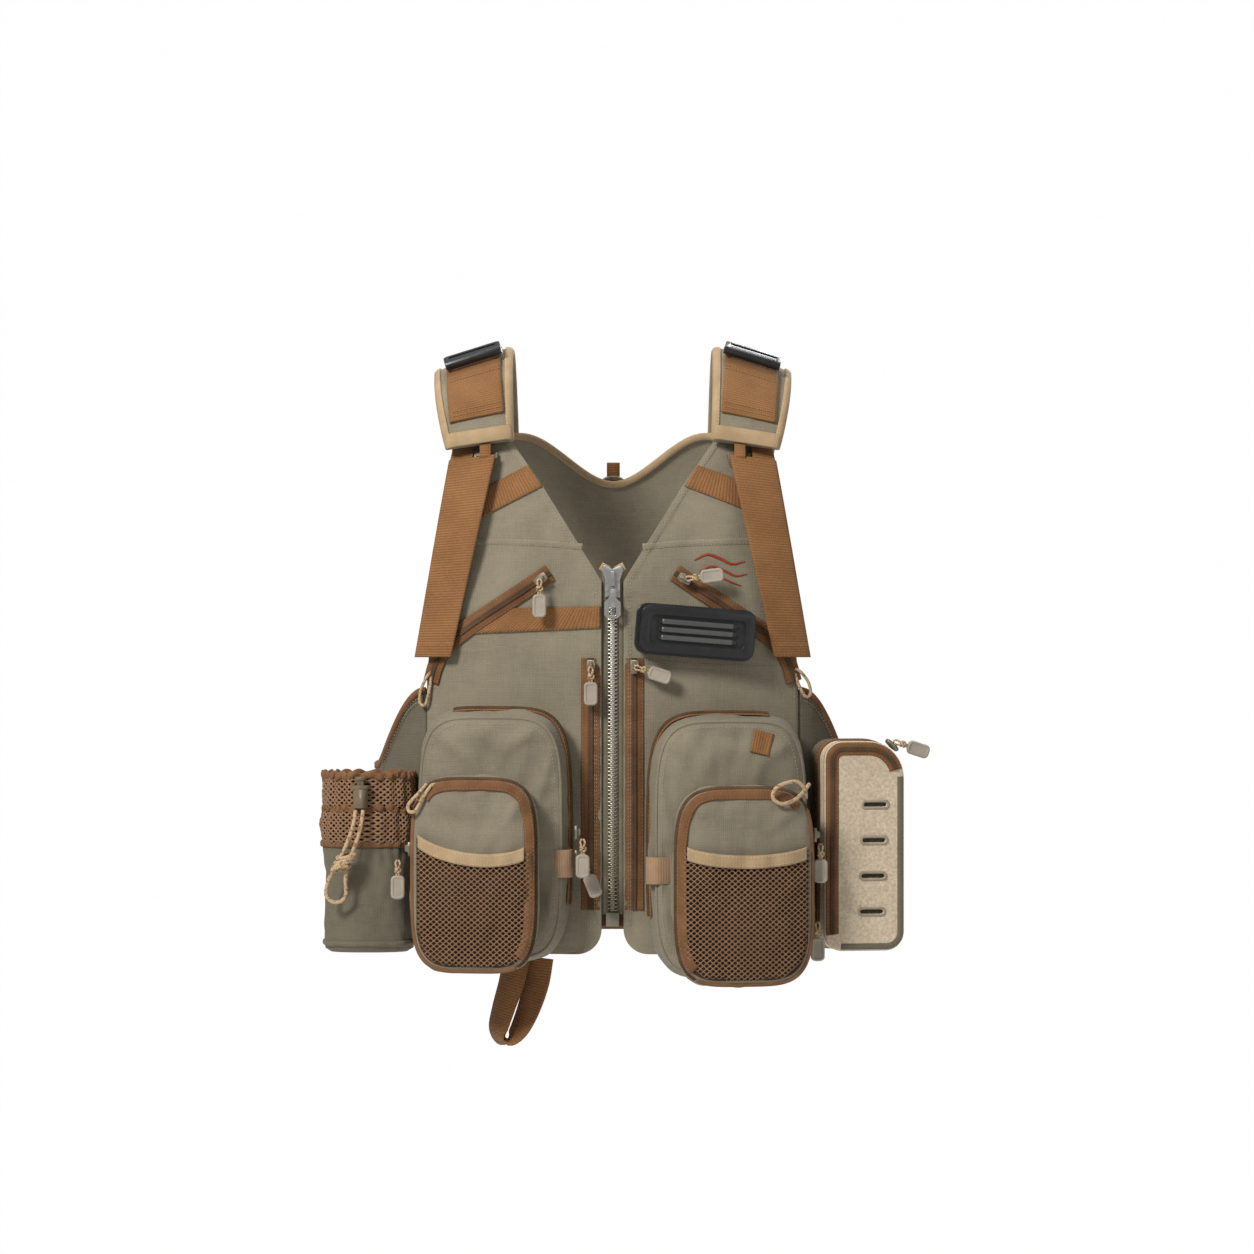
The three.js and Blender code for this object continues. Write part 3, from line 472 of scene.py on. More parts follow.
class Shader:
    """A small helper for wiring one Principled material."""

    def __init__(self, name, roughness=0.85, **constants):
        self.material = bpy.data.materials.new(name)
        self.material.use_nodes = True
        self.tree = self.material.node_tree
        self.bsdf = self.tree.nodes["Principled BSDF"]
        self.bsdf.inputs["Roughness"].default_value = roughness
        self.bsdf.inputs["Specular IOR Level"].default_value = 0.5 if roughness < 0.65 else 0.18
        for key, value in constants.items():
            self.bsdf.inputs[key.replace("_", " ")].default_value = value

    def put(self, socket, value):
        if isinstance(value, bpy.types.NodeSocket):
            self.tree.links.new(value, socket)
        else:
            socket.default_value = value

    def coords(self, kind="Object", scale=(1, 1, 1), turn=(0, 0, 0)):
        source = self.tree.nodes.new("ShaderNodeTexCoord")
        mapping = self.tree.nodes.new("ShaderNodeMapping")
        self.tree.links.new(source.outputs[kind], mapping.inputs["Vector"])
        mapping.inputs["Scale"].default_value = scale
        mapping.inputs["Rotation"].default_value = turn
        return mapping.outputs["Vector"]

    def noise(self, vector, scale, detail=3.0, roughness=0.55):
        node = self.tree.nodes.new("ShaderNodeTexNoise")
        self.put(node.inputs["Vector"], vector)
        node.inputs["Scale"].default_value = scale
        node.inputs["Detail"].default_value = detail
        node.inputs["Roughness"].default_value = roughness
        return node.outputs["Fac"]

    def bands(self, vector, period, direction="X", distortion=0.0):
        """Sine bands, one every period metres."""
        node = self.tree.nodes.new("ShaderNodeTexWave")
        node.bands_direction = direction
        self.put(node.inputs["Vector"], vector)
        node.inputs["Scale"].default_value = TAU / 20 / period
        node.inputs["Distortion"].default_value = distortion
        return node.outputs["Fac"]

    def math(self, operation, a, b=0.0):
        node = self.tree.nodes.new("ShaderNodeMath")
        node.operation = operation
        self.put(node.inputs[0], a)
        self.put(node.inputs[1], b)
        return node.outputs[0]

    def span(self, value, low, high, to_low=0.0, to_high=1.0):
        node = self.tree.nodes.new("ShaderNodeMapRange")
        self.put(node.inputs["Value"], value)
        for key, number in (("From Min", low), ("From Max", high), ("To Min", to_low), ("To Max", to_high)):
            node.inputs[key].default_value = number
        return node.outputs["Result"]

    def mix(self, factor, a, b):
        node = self.tree.nodes.new("ShaderNodeMix")
        node.data_type = "RGBA"
        self.put(node.inputs["Factor"], factor)
        self.put(node.inputs["A"], a if isinstance(a, bpy.types.NodeSocket) else (*a, 1))
        self.put(node.inputs["B"], b if isinstance(b, bpy.types.NodeSocket) else (*b, 1))
        return next(out for out in node.outputs if out.type == "RGBA")

    def finish(self, colour, height=None, strength=0.4, distance=0.0005, roughness=None):
        self.put(self.bsdf.inputs["Base Color"], colour)
        if roughness is not None:
            self.put(self.bsdf.inputs["Roughness"], roughness)
        if height is not None:
            bump = self.tree.nodes.new("ShaderNodeBump")
            bump.inputs["Strength"].default_value = strength
            bump.inputs["Distance"].default_value = distance
            self.put(bump.inputs["Height"], height)
            self.tree.links.new(bump.outputs["Normal"], self.bsdf.inputs["Normal"])
        return self.material


def shade(colour, factor):
    return tuple(c * factor for c in colour)


def canvas_material(name, light, dark, weave=0.0013, sheen=0.06):
    """Woven cotton: a fine grid of yarns, slubs along them, and soft washed patches."""
    s = Shader(name, 0.9, Sheen_Weight=sheen, Sheen_Roughness=0.5)
    flat = s.coords(turn=(0, 0, 0.35))
    warp = s.bands(flat, weave, "X", 1.5)
    weft = s.bands(flat, weave, "Z", 1.5)
    yarn = s.math("MULTIPLY", warp, weft)
    slub_x = s.noise(s.coords(scale=(60, 60, 900)), 1.0, 2)
    slub_z = s.noise(s.coords(scale=(900, 900, 60)), 1.0, 2)
    slub = s.math("ADD", slub_x, slub_z)
    grain = s.noise(s.coords(), 1100, 2)
    patches = s.noise(s.coords(), 22, 5, 0.6)
    base = s.mix(s.span(patches, 0.32, 0.68), dark, light)
    base = s.mix(s.span(slub, 0.75, 1.3, 0, 0.5), base, shade(light, 1.16))
    base = s.mix(s.span(yarn, 0.0, 0.35, 0.32, 0.0), base, shade(dark, 0.62))
    base = s.mix(s.span(grain, 0.35, 0.65, 0.22, 0.0), base, shade(dark, 0.55))
    height = s.math("ADD", s.math("MULTIPLY", yarn, 0.7), s.math("MULTIPLY", slub, 0.5))
    return s.finish(base, height, 0.5, 0.0004)


def webbing_material(name, light, dark, rib=0.0022):
    """Woven webbing: ribs across it, crossed by finer cords along it."""
    s = Shader(name, 0.82, Sheen_Weight=0.05, Sheen_Roughness=0.45)
    flat = s.coords("UV")
    ribs = s.bands(flat, rib, "Y", 0.8)
    cords = s.bands(flat, 0.0016, "X", 0.6)
    cell = s.math("MULTIPLY", ribs, s.span(cords, 0, 1, 0.45, 1))
    fibre = s.noise(s.coords("UV", (1800, 300, 1)), 1.0, 3)
    patches = s.noise(s.coords(), 38, 4)
    base = s.mix(s.span(patches, 0.3, 0.7), dark, light)
    base = s.mix(s.span(cell, 0.0, 0.6, 0.6, 0.0), base, shade(dark, 0.5))
    base = s.mix(s.span(fibre, 0.45, 0.75, 0, 0.35), base, shade(light, 1.35))
    height = s.math("ADD", cell, s.math("MULTIPLY", fibre, 0.3))
    return s.finish(base, height, 0.6, 0.0005)


def tape_material(name, light, dark, rib=0.0012, sheen=0.04):
    """Narrow woven tape and binding: fine ribs along and across, with worn paler threads."""
    s = Shader(name, 0.85, Sheen_Weight=sheen, Sheen_Roughness=0.5)
    ribs = s.bands(s.coords("UV"), rib, "Y", 1.0)
    thread = s.noise(s.coords("UV", (500, 2600, 1)), 1.0, 2)
    patches = s.noise(s.coords(), 60, 4)
    base = s.mix(s.span(patches, 0.3, 0.7), dark, light)
    base = s.mix(s.span(ribs, 0.0, 0.5, 0.35, 0.0), base, shade(dark, 0.6))
    base = s.mix(s.span(thread, 0.5, 0.8, 0, 0.3), base, shade(light, 1.3))
    return s.finish(base, s.math("ADD", ribs, thread), 0.45, 0.0003)


def thread_material(name, light, dark):
    s = Shader(name, 0.7, Sheen_Weight=0.03)
    twist = s.noise(s.coords(), 1500, 2)
    return s.finish(s.mix(s.span(twist, 0.35, 0.65), dark, light), twist, 0.3, 0.0002)


def moulded_material(name, colour, roughness, grain=900, depth=0.25, dust=0.0, coat=0.0):
    """Moulded plastic or rubber: a spark-eroded grain, faint flow patches and a little dust in it."""
    s = Shader(name, roughness, Coat_Weight=coat, Coat_Roughness=0.3)
    pits = s.noise(s.coords(), grain, 3)
    patches = s.noise(s.coords(), 70, 4)
    base = s.mix(s.span(patches, 0.3, 0.7), shade(colour, 0.86), shade(colour, 1.12))
    base = s.mix(s.span(pits, 0.5, 0.8, 0, dust), base, (0.36, 0.33, 0.28))
    rough = s.span(patches, 0.3, 0.7, roughness - 0.07, roughness + 0.07)
    return s.finish(base, pits, depth, 0.0002, rough)


def metal_material(name, colour, roughness, metallic=1.0, dull=(0.1, 0.09, 0.07)):
    s = Shader(name, roughness, Metallic=metallic)
    wear = s.noise(s.coords(), 240, 5, 0.65)
    scratch = s.noise(s.coords(scale=(300, 300, 2600)), 1.0, 2)
    base = s.mix(s.span(wear, 0.42, 0.7, 0.0, 0.55), colour, dull)
    rough = s.span(wear, 0.35, 0.7, roughness - 0.08, roughness + 0.18)
    return s.finish(base, s.math("ADD", wear, scratch), 0.2, 0.0002, rough)


def felt_material(name, light, dark):
    """The case shell: foam faced with a short mottled felt."""
    s = Shader(name, 0.95, Sheen_Weight=0.12, Sheen_Roughness=0.6)
    fuzz = s.noise(s.coords(), 1300, 4, 0.7)
    tufts = s.noise(s.coords(), 420, 4, 0.65)
    patches = s.noise(s.coords(), 34, 5, 0.6)
    base = s.mix(s.span(tufts, 0.36, 0.64), dark, light)
    base = s.mix(s.span(patches, 0.35, 0.7, 0.0, 0.35), base, shade(dark, 0.82))
    base = s.mix(s.span(fuzz, 0.55, 0.8, 0, 0.55), base, shade(light, 1.3))
    return s.finish(base, s.math("ADD", fuzz, tufts), 0.7, 0.0006)


def braid_material(name, light, fleck):
    """A braided cord: crossing strands with darker flecks woven in."""
    s = Shader(name, 0.85, Sheen_Weight=0.06)
    left = s.bands(s.coords("UV", (1, 1, 1), (0, 0, 0.8)), 0.0014, "X", 0.3)
    right = s.bands(s.coords("UV", (1, 1, 1), (0, 0, -0.8)), 0.0014, "X", 0.3)
    strands = s.math("MAXIMUM", left, right)
    flecks = s.noise(s.coords(), 480, 1)
    base = s.mix(s.span(strands, 0.3, 0.9, 0.45, 0), light, shade(light, 0.45))
    base = s.mix(s.span(flecks, 0.56, 0.62, 0, 0.8), base, fleck)
    return s.finish(base, strands, 0.5, 0.0005)


OLIVE = ((0.276, 0.241, 0.172), (0.200, 0.172, 0.120))
canvas = canvas_material("olive_canvas", *OLIVE)
pocket_canvas = canvas_material("pocket_canvas", (0.256, 0.222, 0.158), (0.190, 0.163, 0.114))
dark_canvas = canvas_material("shaded_canvas", (0.172, 0.149, 0.105), (0.122, 0.104, 0.072))
# a near-black brown for the dark sheets laid behind the nets: painted shade
painted_shade_sheet = canvas_material("painted_shade_sheet", (0.06, 0.035, 0.018), (0.035, 0.02, 0.011), sheen=0.0)
webbing = webbing_material("brown_webbing", (0.300, 0.142, 0.054), (0.215, 0.098, 0.036))
pad_webbing = webbing_material("pad_webbing", (0.275, 0.130, 0.048), (0.200, 0.093, 0.034))
zip_tape = tape_material("zip_tape", (0.200, 0.096, 0.040), (0.130, 0.060, 0.026))
zip_coil = tape_material("zip_coil", (0.125, 0.070, 0.036), (0.070, 0.040, 0.022), 0.0009, 0.0)
olive_tape = tape_material("olive_tape", (0.196, 0.169, 0.117), (0.14, 0.12, 0.083))
beige_binding = tape_material("beige_binding", (0.435, 0.310, 0.178), (0.335, 0.230, 0.128))
brown_piping = tape_material("brown_piping", (0.225, 0.112, 0.050), (0.145, 0.070, 0.033))
elastic = tape_material("ribbed_elastic", (0.430, 0.275, 0.170), (0.300, 0.182, 0.106), 0.0021)
net = thread_material("brown_net", (0.310, 0.178, 0.098), (0.180, 0.098, 0.052))
stitch_olive = thread_material("stitch_olive", (0.400, 0.352, 0.262), (0.250, 0.216, 0.155))
stitch_brown = thread_material("stitch_brown", (0.360, 0.190, 0.086), (0.200, 0.100, 0.045))
stitch_beige = thread_material("stitch_beige", (0.620, 0.480, 0.310), (0.430, 0.310, 0.180))
embroidery = thread_material("rust_embroidery", (0.420, 0.078, 0.036), (0.250, 0.042, 0.022))
rubber = moulded_material("rubber_tab", (0.315, 0.272, 0.212), 0.62, 700, 0.35)
black_plastic = moulded_material("black_plastic", (0.009, 0.009, 0.010), 0.36, 1400, 0.2, 0.03, 0.0)
# a paler grey copy of the black plastic, for the dock's rib strips: painted highlight
rib_highlight_plastic = moulded_material("rib_painted_highlight", (0.060, 0.060, 0.059), 0.4, 1400, 0.2, 0.1)
olive_plastic = moulded_material("olive_plastic", (0.150, 0.112, 0.064), 0.45, 900, 0.3, 0.1)
dark_metal = metal_material("dark_metal", (0.27, 0.235, 0.17), 0.42, 0.7, (0.10, 0.085, 0.06))
steel = metal_material("slider_steel", (0.46, 0.45, 0.42), 0.3, 0.85, (0.10, 0.095, 0.085))
zip_box = moulded_material("zip_box", (0.215, 0.188, 0.138), 0.5, 900, 0.3, 0.1)
ring_metal = metal_material("ring_metal", (0.24, 0.20, 0.14), 0.45, 0.6)
felt = felt_material("case_felt", (0.660, 0.550, 0.400), (0.450, 0.360, 0.250))
foam = moulded_material("foam_block", (0.52, 0.47, 0.37), 0.92, 500, 0.6)
braid = braid_material("cord_braid", (0.520, 0.370, 0.220), (0.200, 0.100, 0.045))


def put(obj, body="root", nodes=()):
    """Rides a piece on its body, and hides the CAD nodes that it stands for."""
    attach(obj, body)
    if nodes:
        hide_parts(*([nodes] if isinstance(nodes, str) else nodes))
    return obj


def piece(soup, name, material, nodes=(), body="root"):
    """Builds a gathered soup as one closed visible piece, and rides it on its body."""
    return put(turn_out(soup.build(name, material)), body, nodes)


# ------------------------------------------------------------------ hardware: refined copies of the CAD parts


def box_mm(node):
    """The corners of a CAD node's box, in mm."""
    return (np.array(corner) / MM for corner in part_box(node))


def refined(node, body, material, bevel=0.5, segments=2):
    """A copy of a rigid CAD part whose edges are eased, and which stands for it."""
    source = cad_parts[node]
    data = source.data.copy()
    bm = bmesh.new()
    bm.from_mesh(data)
    bmesh.ops.remove_doubles(bm, verts=bm.verts, dist=1e-5)
    bmesh.ops.dissolve_limit(bm, angle_limit=math.radians(2), verts=bm.verts, edges=bm.edges)
    bm.to_mesh(data)
    bm.free()
    obj = bpy.data.objects.new(f"{node}_body", data)
    scene.collection.objects.link(obj)
    data.materials.clear()
    data.materials.append(material)
    data.polygons.foreach_set("use_smooth", [True] * len(data.polygons))
    ease = obj.modifiers.new("ease", "BEVEL")
    ease.width = bevel * MM
    ease.segments = segments
    ease.limit_method = "ANGLE"
    ease.angle_limit = math.radians(28)
    ease.harden_normals = True
    apply_modifiers(obj)
    return put(obj, body, node)


refined("main_slider", "main_slider", steel, 0.4)
refined("main_pull", "main_pull", steel, 0.4)
refined("main_zip_box", "root", zip_box, 0.6)
refined("back_net_ring", "back_net_ring", ring_metal, 0.6, 3)
refined("chest_dock_base", "root", black_plastic, 0.8, 3)
refined("chest_dock", "root", black_plastic, 1.1, 3)
refined("cord_lock_body", "root", olive_plastic, 0.7, 3)
refined("cord_lock_button", "cord_lock_button", olive_plastic, 0.7, 3)
for side_name, _ in SIDES:
    refined(f"d_ring_{side_name}", f"d_ring_{side_name}", ring_metal, 0.6, 3)
    refined(
        f"shoulder_buckle_{side_name}", f"shoulder_buckle_{side_name}", black_plastic, 0.9, 3,
    )

# paler strips along the tops of the dock's three ribs: a painted highlight
DOCK_ORIGIN = np.array((66.5, -126.2, -229.6))
DOCK_X, DOCK_Y, DOCK_Z = np.array(
    (0.989, 0.122, -0.0785)
), np.array((-0.123, 0.992, 0.0)), np.array((0.078, 0.010, 0.997))
soup = Soup()
for height in (-6.4, 0.0, 6.4):
    along = np.linspace(-29, 29, 30)[:, None]
    line = DOCK_ORIGIN + along * DOCK_X - 11.45 * DOCK_Y + height * DOCK_Z
    sweep(soup, line, np.tile(-DOCK_Y, (30, 1)), round_profile(2.2, 0.7, 8))
piece(soup, "chest_dock_rib_highlights", rib_highlight_plastic)

SMALL_ZIPS = {
    # name: (slider body, pull body, roll of the pull in degrees, yaw)
    "edge_zip_right": ("edge_slider_right", "edge_pull_right", 0, 0),
    "edge_zip_left": ("edge_slider_left", "edge_pull_left", -72, 0),
    "chest_zip_right": ("chest_slider_right", "chest_pull_right", 0, 0),
    "chest_zip_left": ("chest_slider_left", "chest_pull_left", -97, 0),
    "cargo_zip_right_upper": ("cargo_zip_right_upper_slider", "cargo_zip_right_upper_pull", 0, 0),
    "cargo_zip_right_lower": ("cargo_zip_right_lower_slider", "cargo_zip_right_lower_pull", -22, 0),
    "front_zip_right": ("front_zip_right_slider", "front_zip_right_pull", 0, 0),
    "front_zip_left": ("front_zip_left_slider", "front_zip_left_pull", 0, 0),
    "cargo_zip_left": ("cargo_zip_left_slider", "cargo_zip_left_pull", 0, 0),
    "fly_case": (None, "fly_case_pull", -72, 12),
}


def rounded_loop(width, height, radius, count=4):
    """The corners of a rounded rectangle, anticlockwise from the bottom right."""
    points = []
    for cx, cy, start in ((1, -1, -90), (1, 1, 0), (-1, 1, 90), (-1, -1, 180)):
        for a in np.radians(start + np.linspace(0, 90, count + 1)):
            points.append(
                (cx * (width / 2 - radius) + radius * math.cos(a),
                 cy * (height / 2 - radius) + radius * math.sin(a))
            )
    return np.array(points)


def dome_stack(soup, outline, levels, place):
    """Stacks insets of an outline: levels are (inset, height), and the last one is closed over."""
    rings = []
    outline = np.asarray(outline, float)
    t = tangents(outline, closed=True)
    inward = np.stack([-t[:, 1], t[:, 0]], -1)
    for inset, height in levels:
        flat = outline + inward * inset
        rings.append(place(flat, height))
    n = len(outline)
    faces = grid_faces(n, len(levels), wrap_u=True).tolist()
    faces.append(tuple(range(n))[::-1])
    faces.append(tuple((len(levels) - 1) * n + k for k in range(n)))
    soup.add(np.array(rings), faces)


def build_pull(name, body, node, roll, yaw):
    """A corded pull: a knotted loop from the slider, and a moulded rubber tab."""
    low, high = box_mm(node)
    angle = math.radians(roll)
    hang = np.array((-math.sin(angle), 0, -math.cos(angle)))
    half_x = 1.5 * abs(math.cos(angle)) + 5.5 * abs(math.sin(angle)) + 4
    half_z = 1.5 * abs(math.sin(angle)) + 5.5 * abs(math.cos(angle)) + 4
    tab_x = high[0] - half_x if hang[0] > 0.01 else low[0] + half_x
    tab = np.array((tab_x, high[1] - 2.2, low[2] + half_z))
    turn = Matrix.Rotation(math.radians(yaw), 3, "Z") @ Matrix.Rotation(angle, 3, "Y")
    basis = np.array(turn)

    def local(points):
        """Local x across the tab, y into the vest, z up the pull; the tab's middle is the origin."""
        return np.asarray(points, float) @ basis.T + tab

    soup = Soup()
    outline = rounded_loop(11, 19, 4.2)
    waist = 1 - 0.09 * np.cos(outline[:, 1] / 19 * TAU)
    outline[:, 0] *= waist

    def lay(side):
        return lambda flat, height: local(
            np.stack([flat[:, 0], side * height + 0 * flat[:, 0], flat[:, 1]], -1)
        )

    levels = [
        (1.0, 1.7), (0.3, 1.3), (0.0, 0.5), (0.0, -0.5), (0.3, -1.3), (1.0, -1.75), (2.0, -1.8), (2.3, -1.35),
        (2.9, -1.3),
    ]
    dome_stack(soup, outline, levels, lay(1))
    piece(soup, f"{name}_tab", rubber, node, body=body)

    cord = Soup()
    for sign in (-1, 1):
        strand = [
            (sign * 0.5, 1.2, 21.6), (sign * 1.7, 0.4, 19.4), (sign * 1.2, -0.3, 16.4),
            (sign * 0.5, -0.4, 13.6),
        ]
        strand += [(sign * 0.9, -0.2, 10.5), (sign * 1.1, -0.2, 7.4)]
        tube(cord, local(curve_through(strand, 0.8)), 0.85, 7)
    a = np.linspace(0, TAU, 40, endpoint=False)
    knot = np.stack(
        [
            (1.55 + 0.75 * np.cos(3 * a)) * np.cos(2 * a), (1.3 + 0.6 * np.cos(3 * a)) * np.sin(2 * a) - 0.3,
            13.6 + 1.5 * np.sin(3 * a),
        ],
        -1,
    )
    tube(cord, local(knot), 0.95, 7, closed=True)
    piece(cord, f"{name}_cord", braid, body=body)


for zip_name, (slider_body, pull_body_name, pull_roll, pull_yaw) in SMALL_ZIPS.items():
    pull_node = "fly_case_pull" if zip_name == "fly_case" else f"{zip_name}_pull"
    if slider_body:
        refined(f"{zip_name}_slider", slider_body, dark_metal, 0.3)
    build_pull(pull_node, pull_body_name, pull_node, pull_roll, pull_yaw)


# ------------------------------------------------------------------ sheets and strips on the torso


def mix(a, b, t):
    return a + (b - a) * t


def shell(front, back, uv=None):
    """Two grids of points, front and back, closed all round, in a soup of their own."""
    nv, nu = front.shape[:2]
    flat = uv if uv is not None else np.zeros((nv, nu, 2))
    faces = grid_faces(nu, nv).tolist() + grid_faces(nu, nv, start=nu * nv, flip=True).tolist()
    rim = [j for j in range(nu)] + [i * nu + nu - 1 for i in range(1, nv)]
    rim += [(nv - 1) * nu + j for j in range(nu - 2, -1, -1)] + [i * nu for i in range(nv - 2, 0, -1)]
    for a, b in zip(rim, rim[1:] + rim[:1]):
        faces.append((b, a, a + nu * nv, b + nu * nv))
    soup = Soup()
    both = np.concatenate([front.reshape(-1, 3), back.reshape(-1, 3)])
    soup.add(both, faces, np.concatenate([flat.reshape(-1, 2)] * 2))
    return soup


def patch(corners, surface, low, high, step=2.0, crown=0.0):
    """A four-cornered strip of webbing on a surface, with its UVs in mm along and across it."""
    a, b, c, d = (np.array(corner, float) for corner in corners)
    nu = max(3, int(np.linalg.norm(b - a) / step))
    nv = max(3, int(np.linalg.norm(d - a) / step))
    u, v = np.meshgrid(np.linspace(0, 1, nu + 1), np.linspace(0, 1, nv + 1))
    flat = a * ((1 - u) * (1 - v))[..., None] + b * (u * (1 - v))[..., None]
    flat = flat + c * (u * v)[..., None] + d * ((1 - u) * v)[..., None]
    lift = high + crown * (4 * v * (1 - v)) ** 0.5
    top = surface(flat[..., 0], flat[..., 1], lift)
    bottom = surface(flat[..., 0], flat[..., 1], low + 0 * lift)
    uv = np.stack([v * np.linalg.norm(d - a), u * np.linalg.norm(b - a)], -1)
    return shell(top, bottom, uv)


def coil_on(soup, points, normals, width, height, lift=0.0, pitch=1.5):
    """A zip coil: two beaded rows with a groove between them."""
    points = np.asarray(points, float)
    along = lengths_along(points)
    count = max(4, int(along[-1] / pitch) * 4)
    at = np.linspace(0, along[-1], count)
    line, up = sampled(points, along, at), sampled(normals, along, at)
    beat = 0.80 + 0.20 * np.cos(at / pitch * TAU)
    half = width / 2
    shape = [(-half, 0), (-half * 0.95, 0.7), (-half * 0.5, 1.0), (-half * 0.12, 0.62), (half * 0.12, 0.62),
             (half * 0.5, 1.0), (half * 0.95, 0.7), (half, 0)]
    rings = np.array([[(x * (0.9 + 0.1 * b), lift + y * height * b) for x, y in shape] for b in beat])
    sweep(soup, line, up, rings)


THREADS = {"olive": Soup(), "brown": Soup(), "beige": Soup()}
STRIPS = {"tape": Soup(), "coil": Soup(), "piping": Soup()}


# pitch, length and radius of each kind of stitch
HEM_STITCH = (3.1, 2.2, 0.26)
POCKET_STITCH = (3.1, 2.2, 0.27)
SEAM_STITCH = (3.0, 2.1, 0.26)
TAPE_STITCH = (3.0, 2.1, 0.28)
ZIP_STITCH = (2.9, 2.0, 0.28)


def sew(colour, surface, flat, d, pitch, length, radius, offset, lift, closed=False):
    """A row of stitches in one colour of thread, along a line on a surface."""
    points, normals = surface_line(surface, flat, d)
    stitch_run(THREADS[colour], points, normals, pitch, length, radius, offset, lift, closed)


def sewn_strip(key, colour, surface, flat, d, profile, stitch, offsets, lift):
    """A strip laid along a line on a surface, with rows of stitches along it."""
    points, normals = surface_line(surface, flat, d)
    sweep(STRIPS.setdefault(key, Soup()), points, normals, profile)
    for offset in offsets:
        stitch_run(THREADS[colour], points, normals, *stitch, offset, lift)


def zip_on(surface, flat, d, tape_width, coil_width, coil_height, tape=None, coil=None):
    """A coil zip laid on a surface: its tape, its coil and a row of stitches down each side."""
    points, normals = surface_line(surface, resample(flat, 1.5), d)
    sweep(tape or STRIPS["tape"], points, normals, band_profile(tape_width, 1.1, 0.4))
    coil_on(coil or STRIPS["coil"], points, normals, coil_width, coil_height, 0.95)
    for side in (-1, 1):
        stitch_run(THREADS["brown"], points, normals, *ZIP_STITCH, side * (tape_width / 2 - 1.3), 1.15)


# ------------------------------------------------------------------ front panels

PANEL_THICK = 4.0
CENTRE_EDGE, CORNER, PANEL_TOP, PANEL_BOTTOM = 8.8, 20.0, -62.0, -488.0


def inner_edge(z):
    z = np.asarray(z, float)
    x = np.interp(-z, [62, 112, 183, 189], [91, 56.4, 12.4, CENTRE_EDGE])
    drop = np.clip(PANEL_BOTTOM + CORNER - z, 0, CORNER)
    return x + CORNER - np.sqrt(CORNER**2 - drop**2)


def outer_edge(z):
    return mix(125.0, 150.0, smoothstep(-np.asarray(z, float), 62, 276) ** 1.4)


def panel_relief(x, z, seed):
    """How far the chest cloth stands off its smooth shape, in mm."""
    flat = np.stack([x, 0.6 * z, 0 * x], -1)
    soft = 0.95 * ripple(flat, 80, seed) + 0.30 * ripple(flat, 26, seed + 1, 2)
    inside = np.abs(x) - inner_edge(z)
    hem = 0.75 * (1 - smoothstep(inside, 5.2, 7.0))
    pucker = 0.30 * np.sin(z / 3.1 + 2 * np.sin(z / 17)) * np.exp(-((inside - 7.5) / 4.0) ** 2)
    calm = smoothstep(np.abs(z + 352), 78, 130)
    return (soft + pucker) * mix(0.35, 1.0, calm) + hem


def front_panel(name, side):
    rows = np.concatenate(
        [np.linspace(PANEL_TOP, -189, 46), np.linspace(-192, -466, 92),
         -488 + 22 * (1 - np.sin(np.linspace(0.12, math.pi / 2, 12)))]
    )
    cols = np.concatenate([[0, 0.006, 0.02], np.linspace(0.045, 1, 48)])
    u, z = np.meshgrid(cols, rows)
    x = side * mix(inner_edge(z), outer_edge(z), u)
    seed = 11 if side < 0 else 23
    top = on_front(x, z, PANEL_THICK - 0.6 + panel_relief(x, z, seed))
    bottom = on_front(x, z, 0.25 * panel_relief(x, z, seed))
    obj = piece(shell(top, bottom), f"panel_{name}", canvas, f"front_panel_{name}")
    return obj


def chest(x, z, d):
    """The chest surface, with the cloth's own relief, for what is sewn to it."""
    x = np.asarray(x, float)
    z = np.asarray(z, float)
    seed = np.where(np.mean(x) < 0, 11, 23).item()
    return on_front(x, z, d + panel_relief(x, z, seed) - 0.6)


for side_name, side in SIDES:
    front_panel(side_name, side)
    edge_z = np.linspace(-66, -466, 150)
    for inset in (5.6, 3.8):
        line = np.stack([side * (inner_edge(edge_z) + inset), edge_z], -1)
        sew("olive", chest, resample(line, 2.0), PANEL_THICK, *HEM_STITCH, 0, 0.1)
    edge_z = np.linspace(-90, -284, 90)
    arm = np.stack([side * (outer_edge(edge_z) - 3.2), edge_z], -1)
    sew("olive", chest, resample(arm, 2.0), PANEL_THICK, *HEM_STITCH, 0, 0.1)
    # the felled seam across the chest, and its two rows of stitches
    seam = [(side * x, z) for x, z in ((24, -161.5), (50, -159), (80, -157.5), (113, -156.5), (129, -157.2))]
    seam = curve_through(np.array(seam), 2.0)
    sewn_strip(
        "olive_seam", "olive", chest, seam, PANEL_THICK - 0.2, ridge_profile(5.5, 1.1),
        SEAM_STITCH, (-2.0, 2.0), 0.65,
    )
    # the bottom hem
    hem = np.stack([side * np.linspace(30, 146, 60), np.full(60, -484.5)], -1)
    sew("olive", chest, hem, PANEL_THICK, *HEM_STITCH, 0, 0.1)

# the seam under the dock
seam = curve_through(np.array([(21, -253), (60, -256), (100, -258), (143, -259)]), 2.0)
p, n = surface_line(chest, seam, PANEL_THICK - 0.2)
sweep(STRIPS["olive_seam"], p, n, ridge_profile(4.5, 0.6))
stitch_run(THREADS["olive"], p, n, *SEAM_STITCH, -1.4, 0.55)

# ------------------------------------------------------------------ webbing bands sewn to the chest

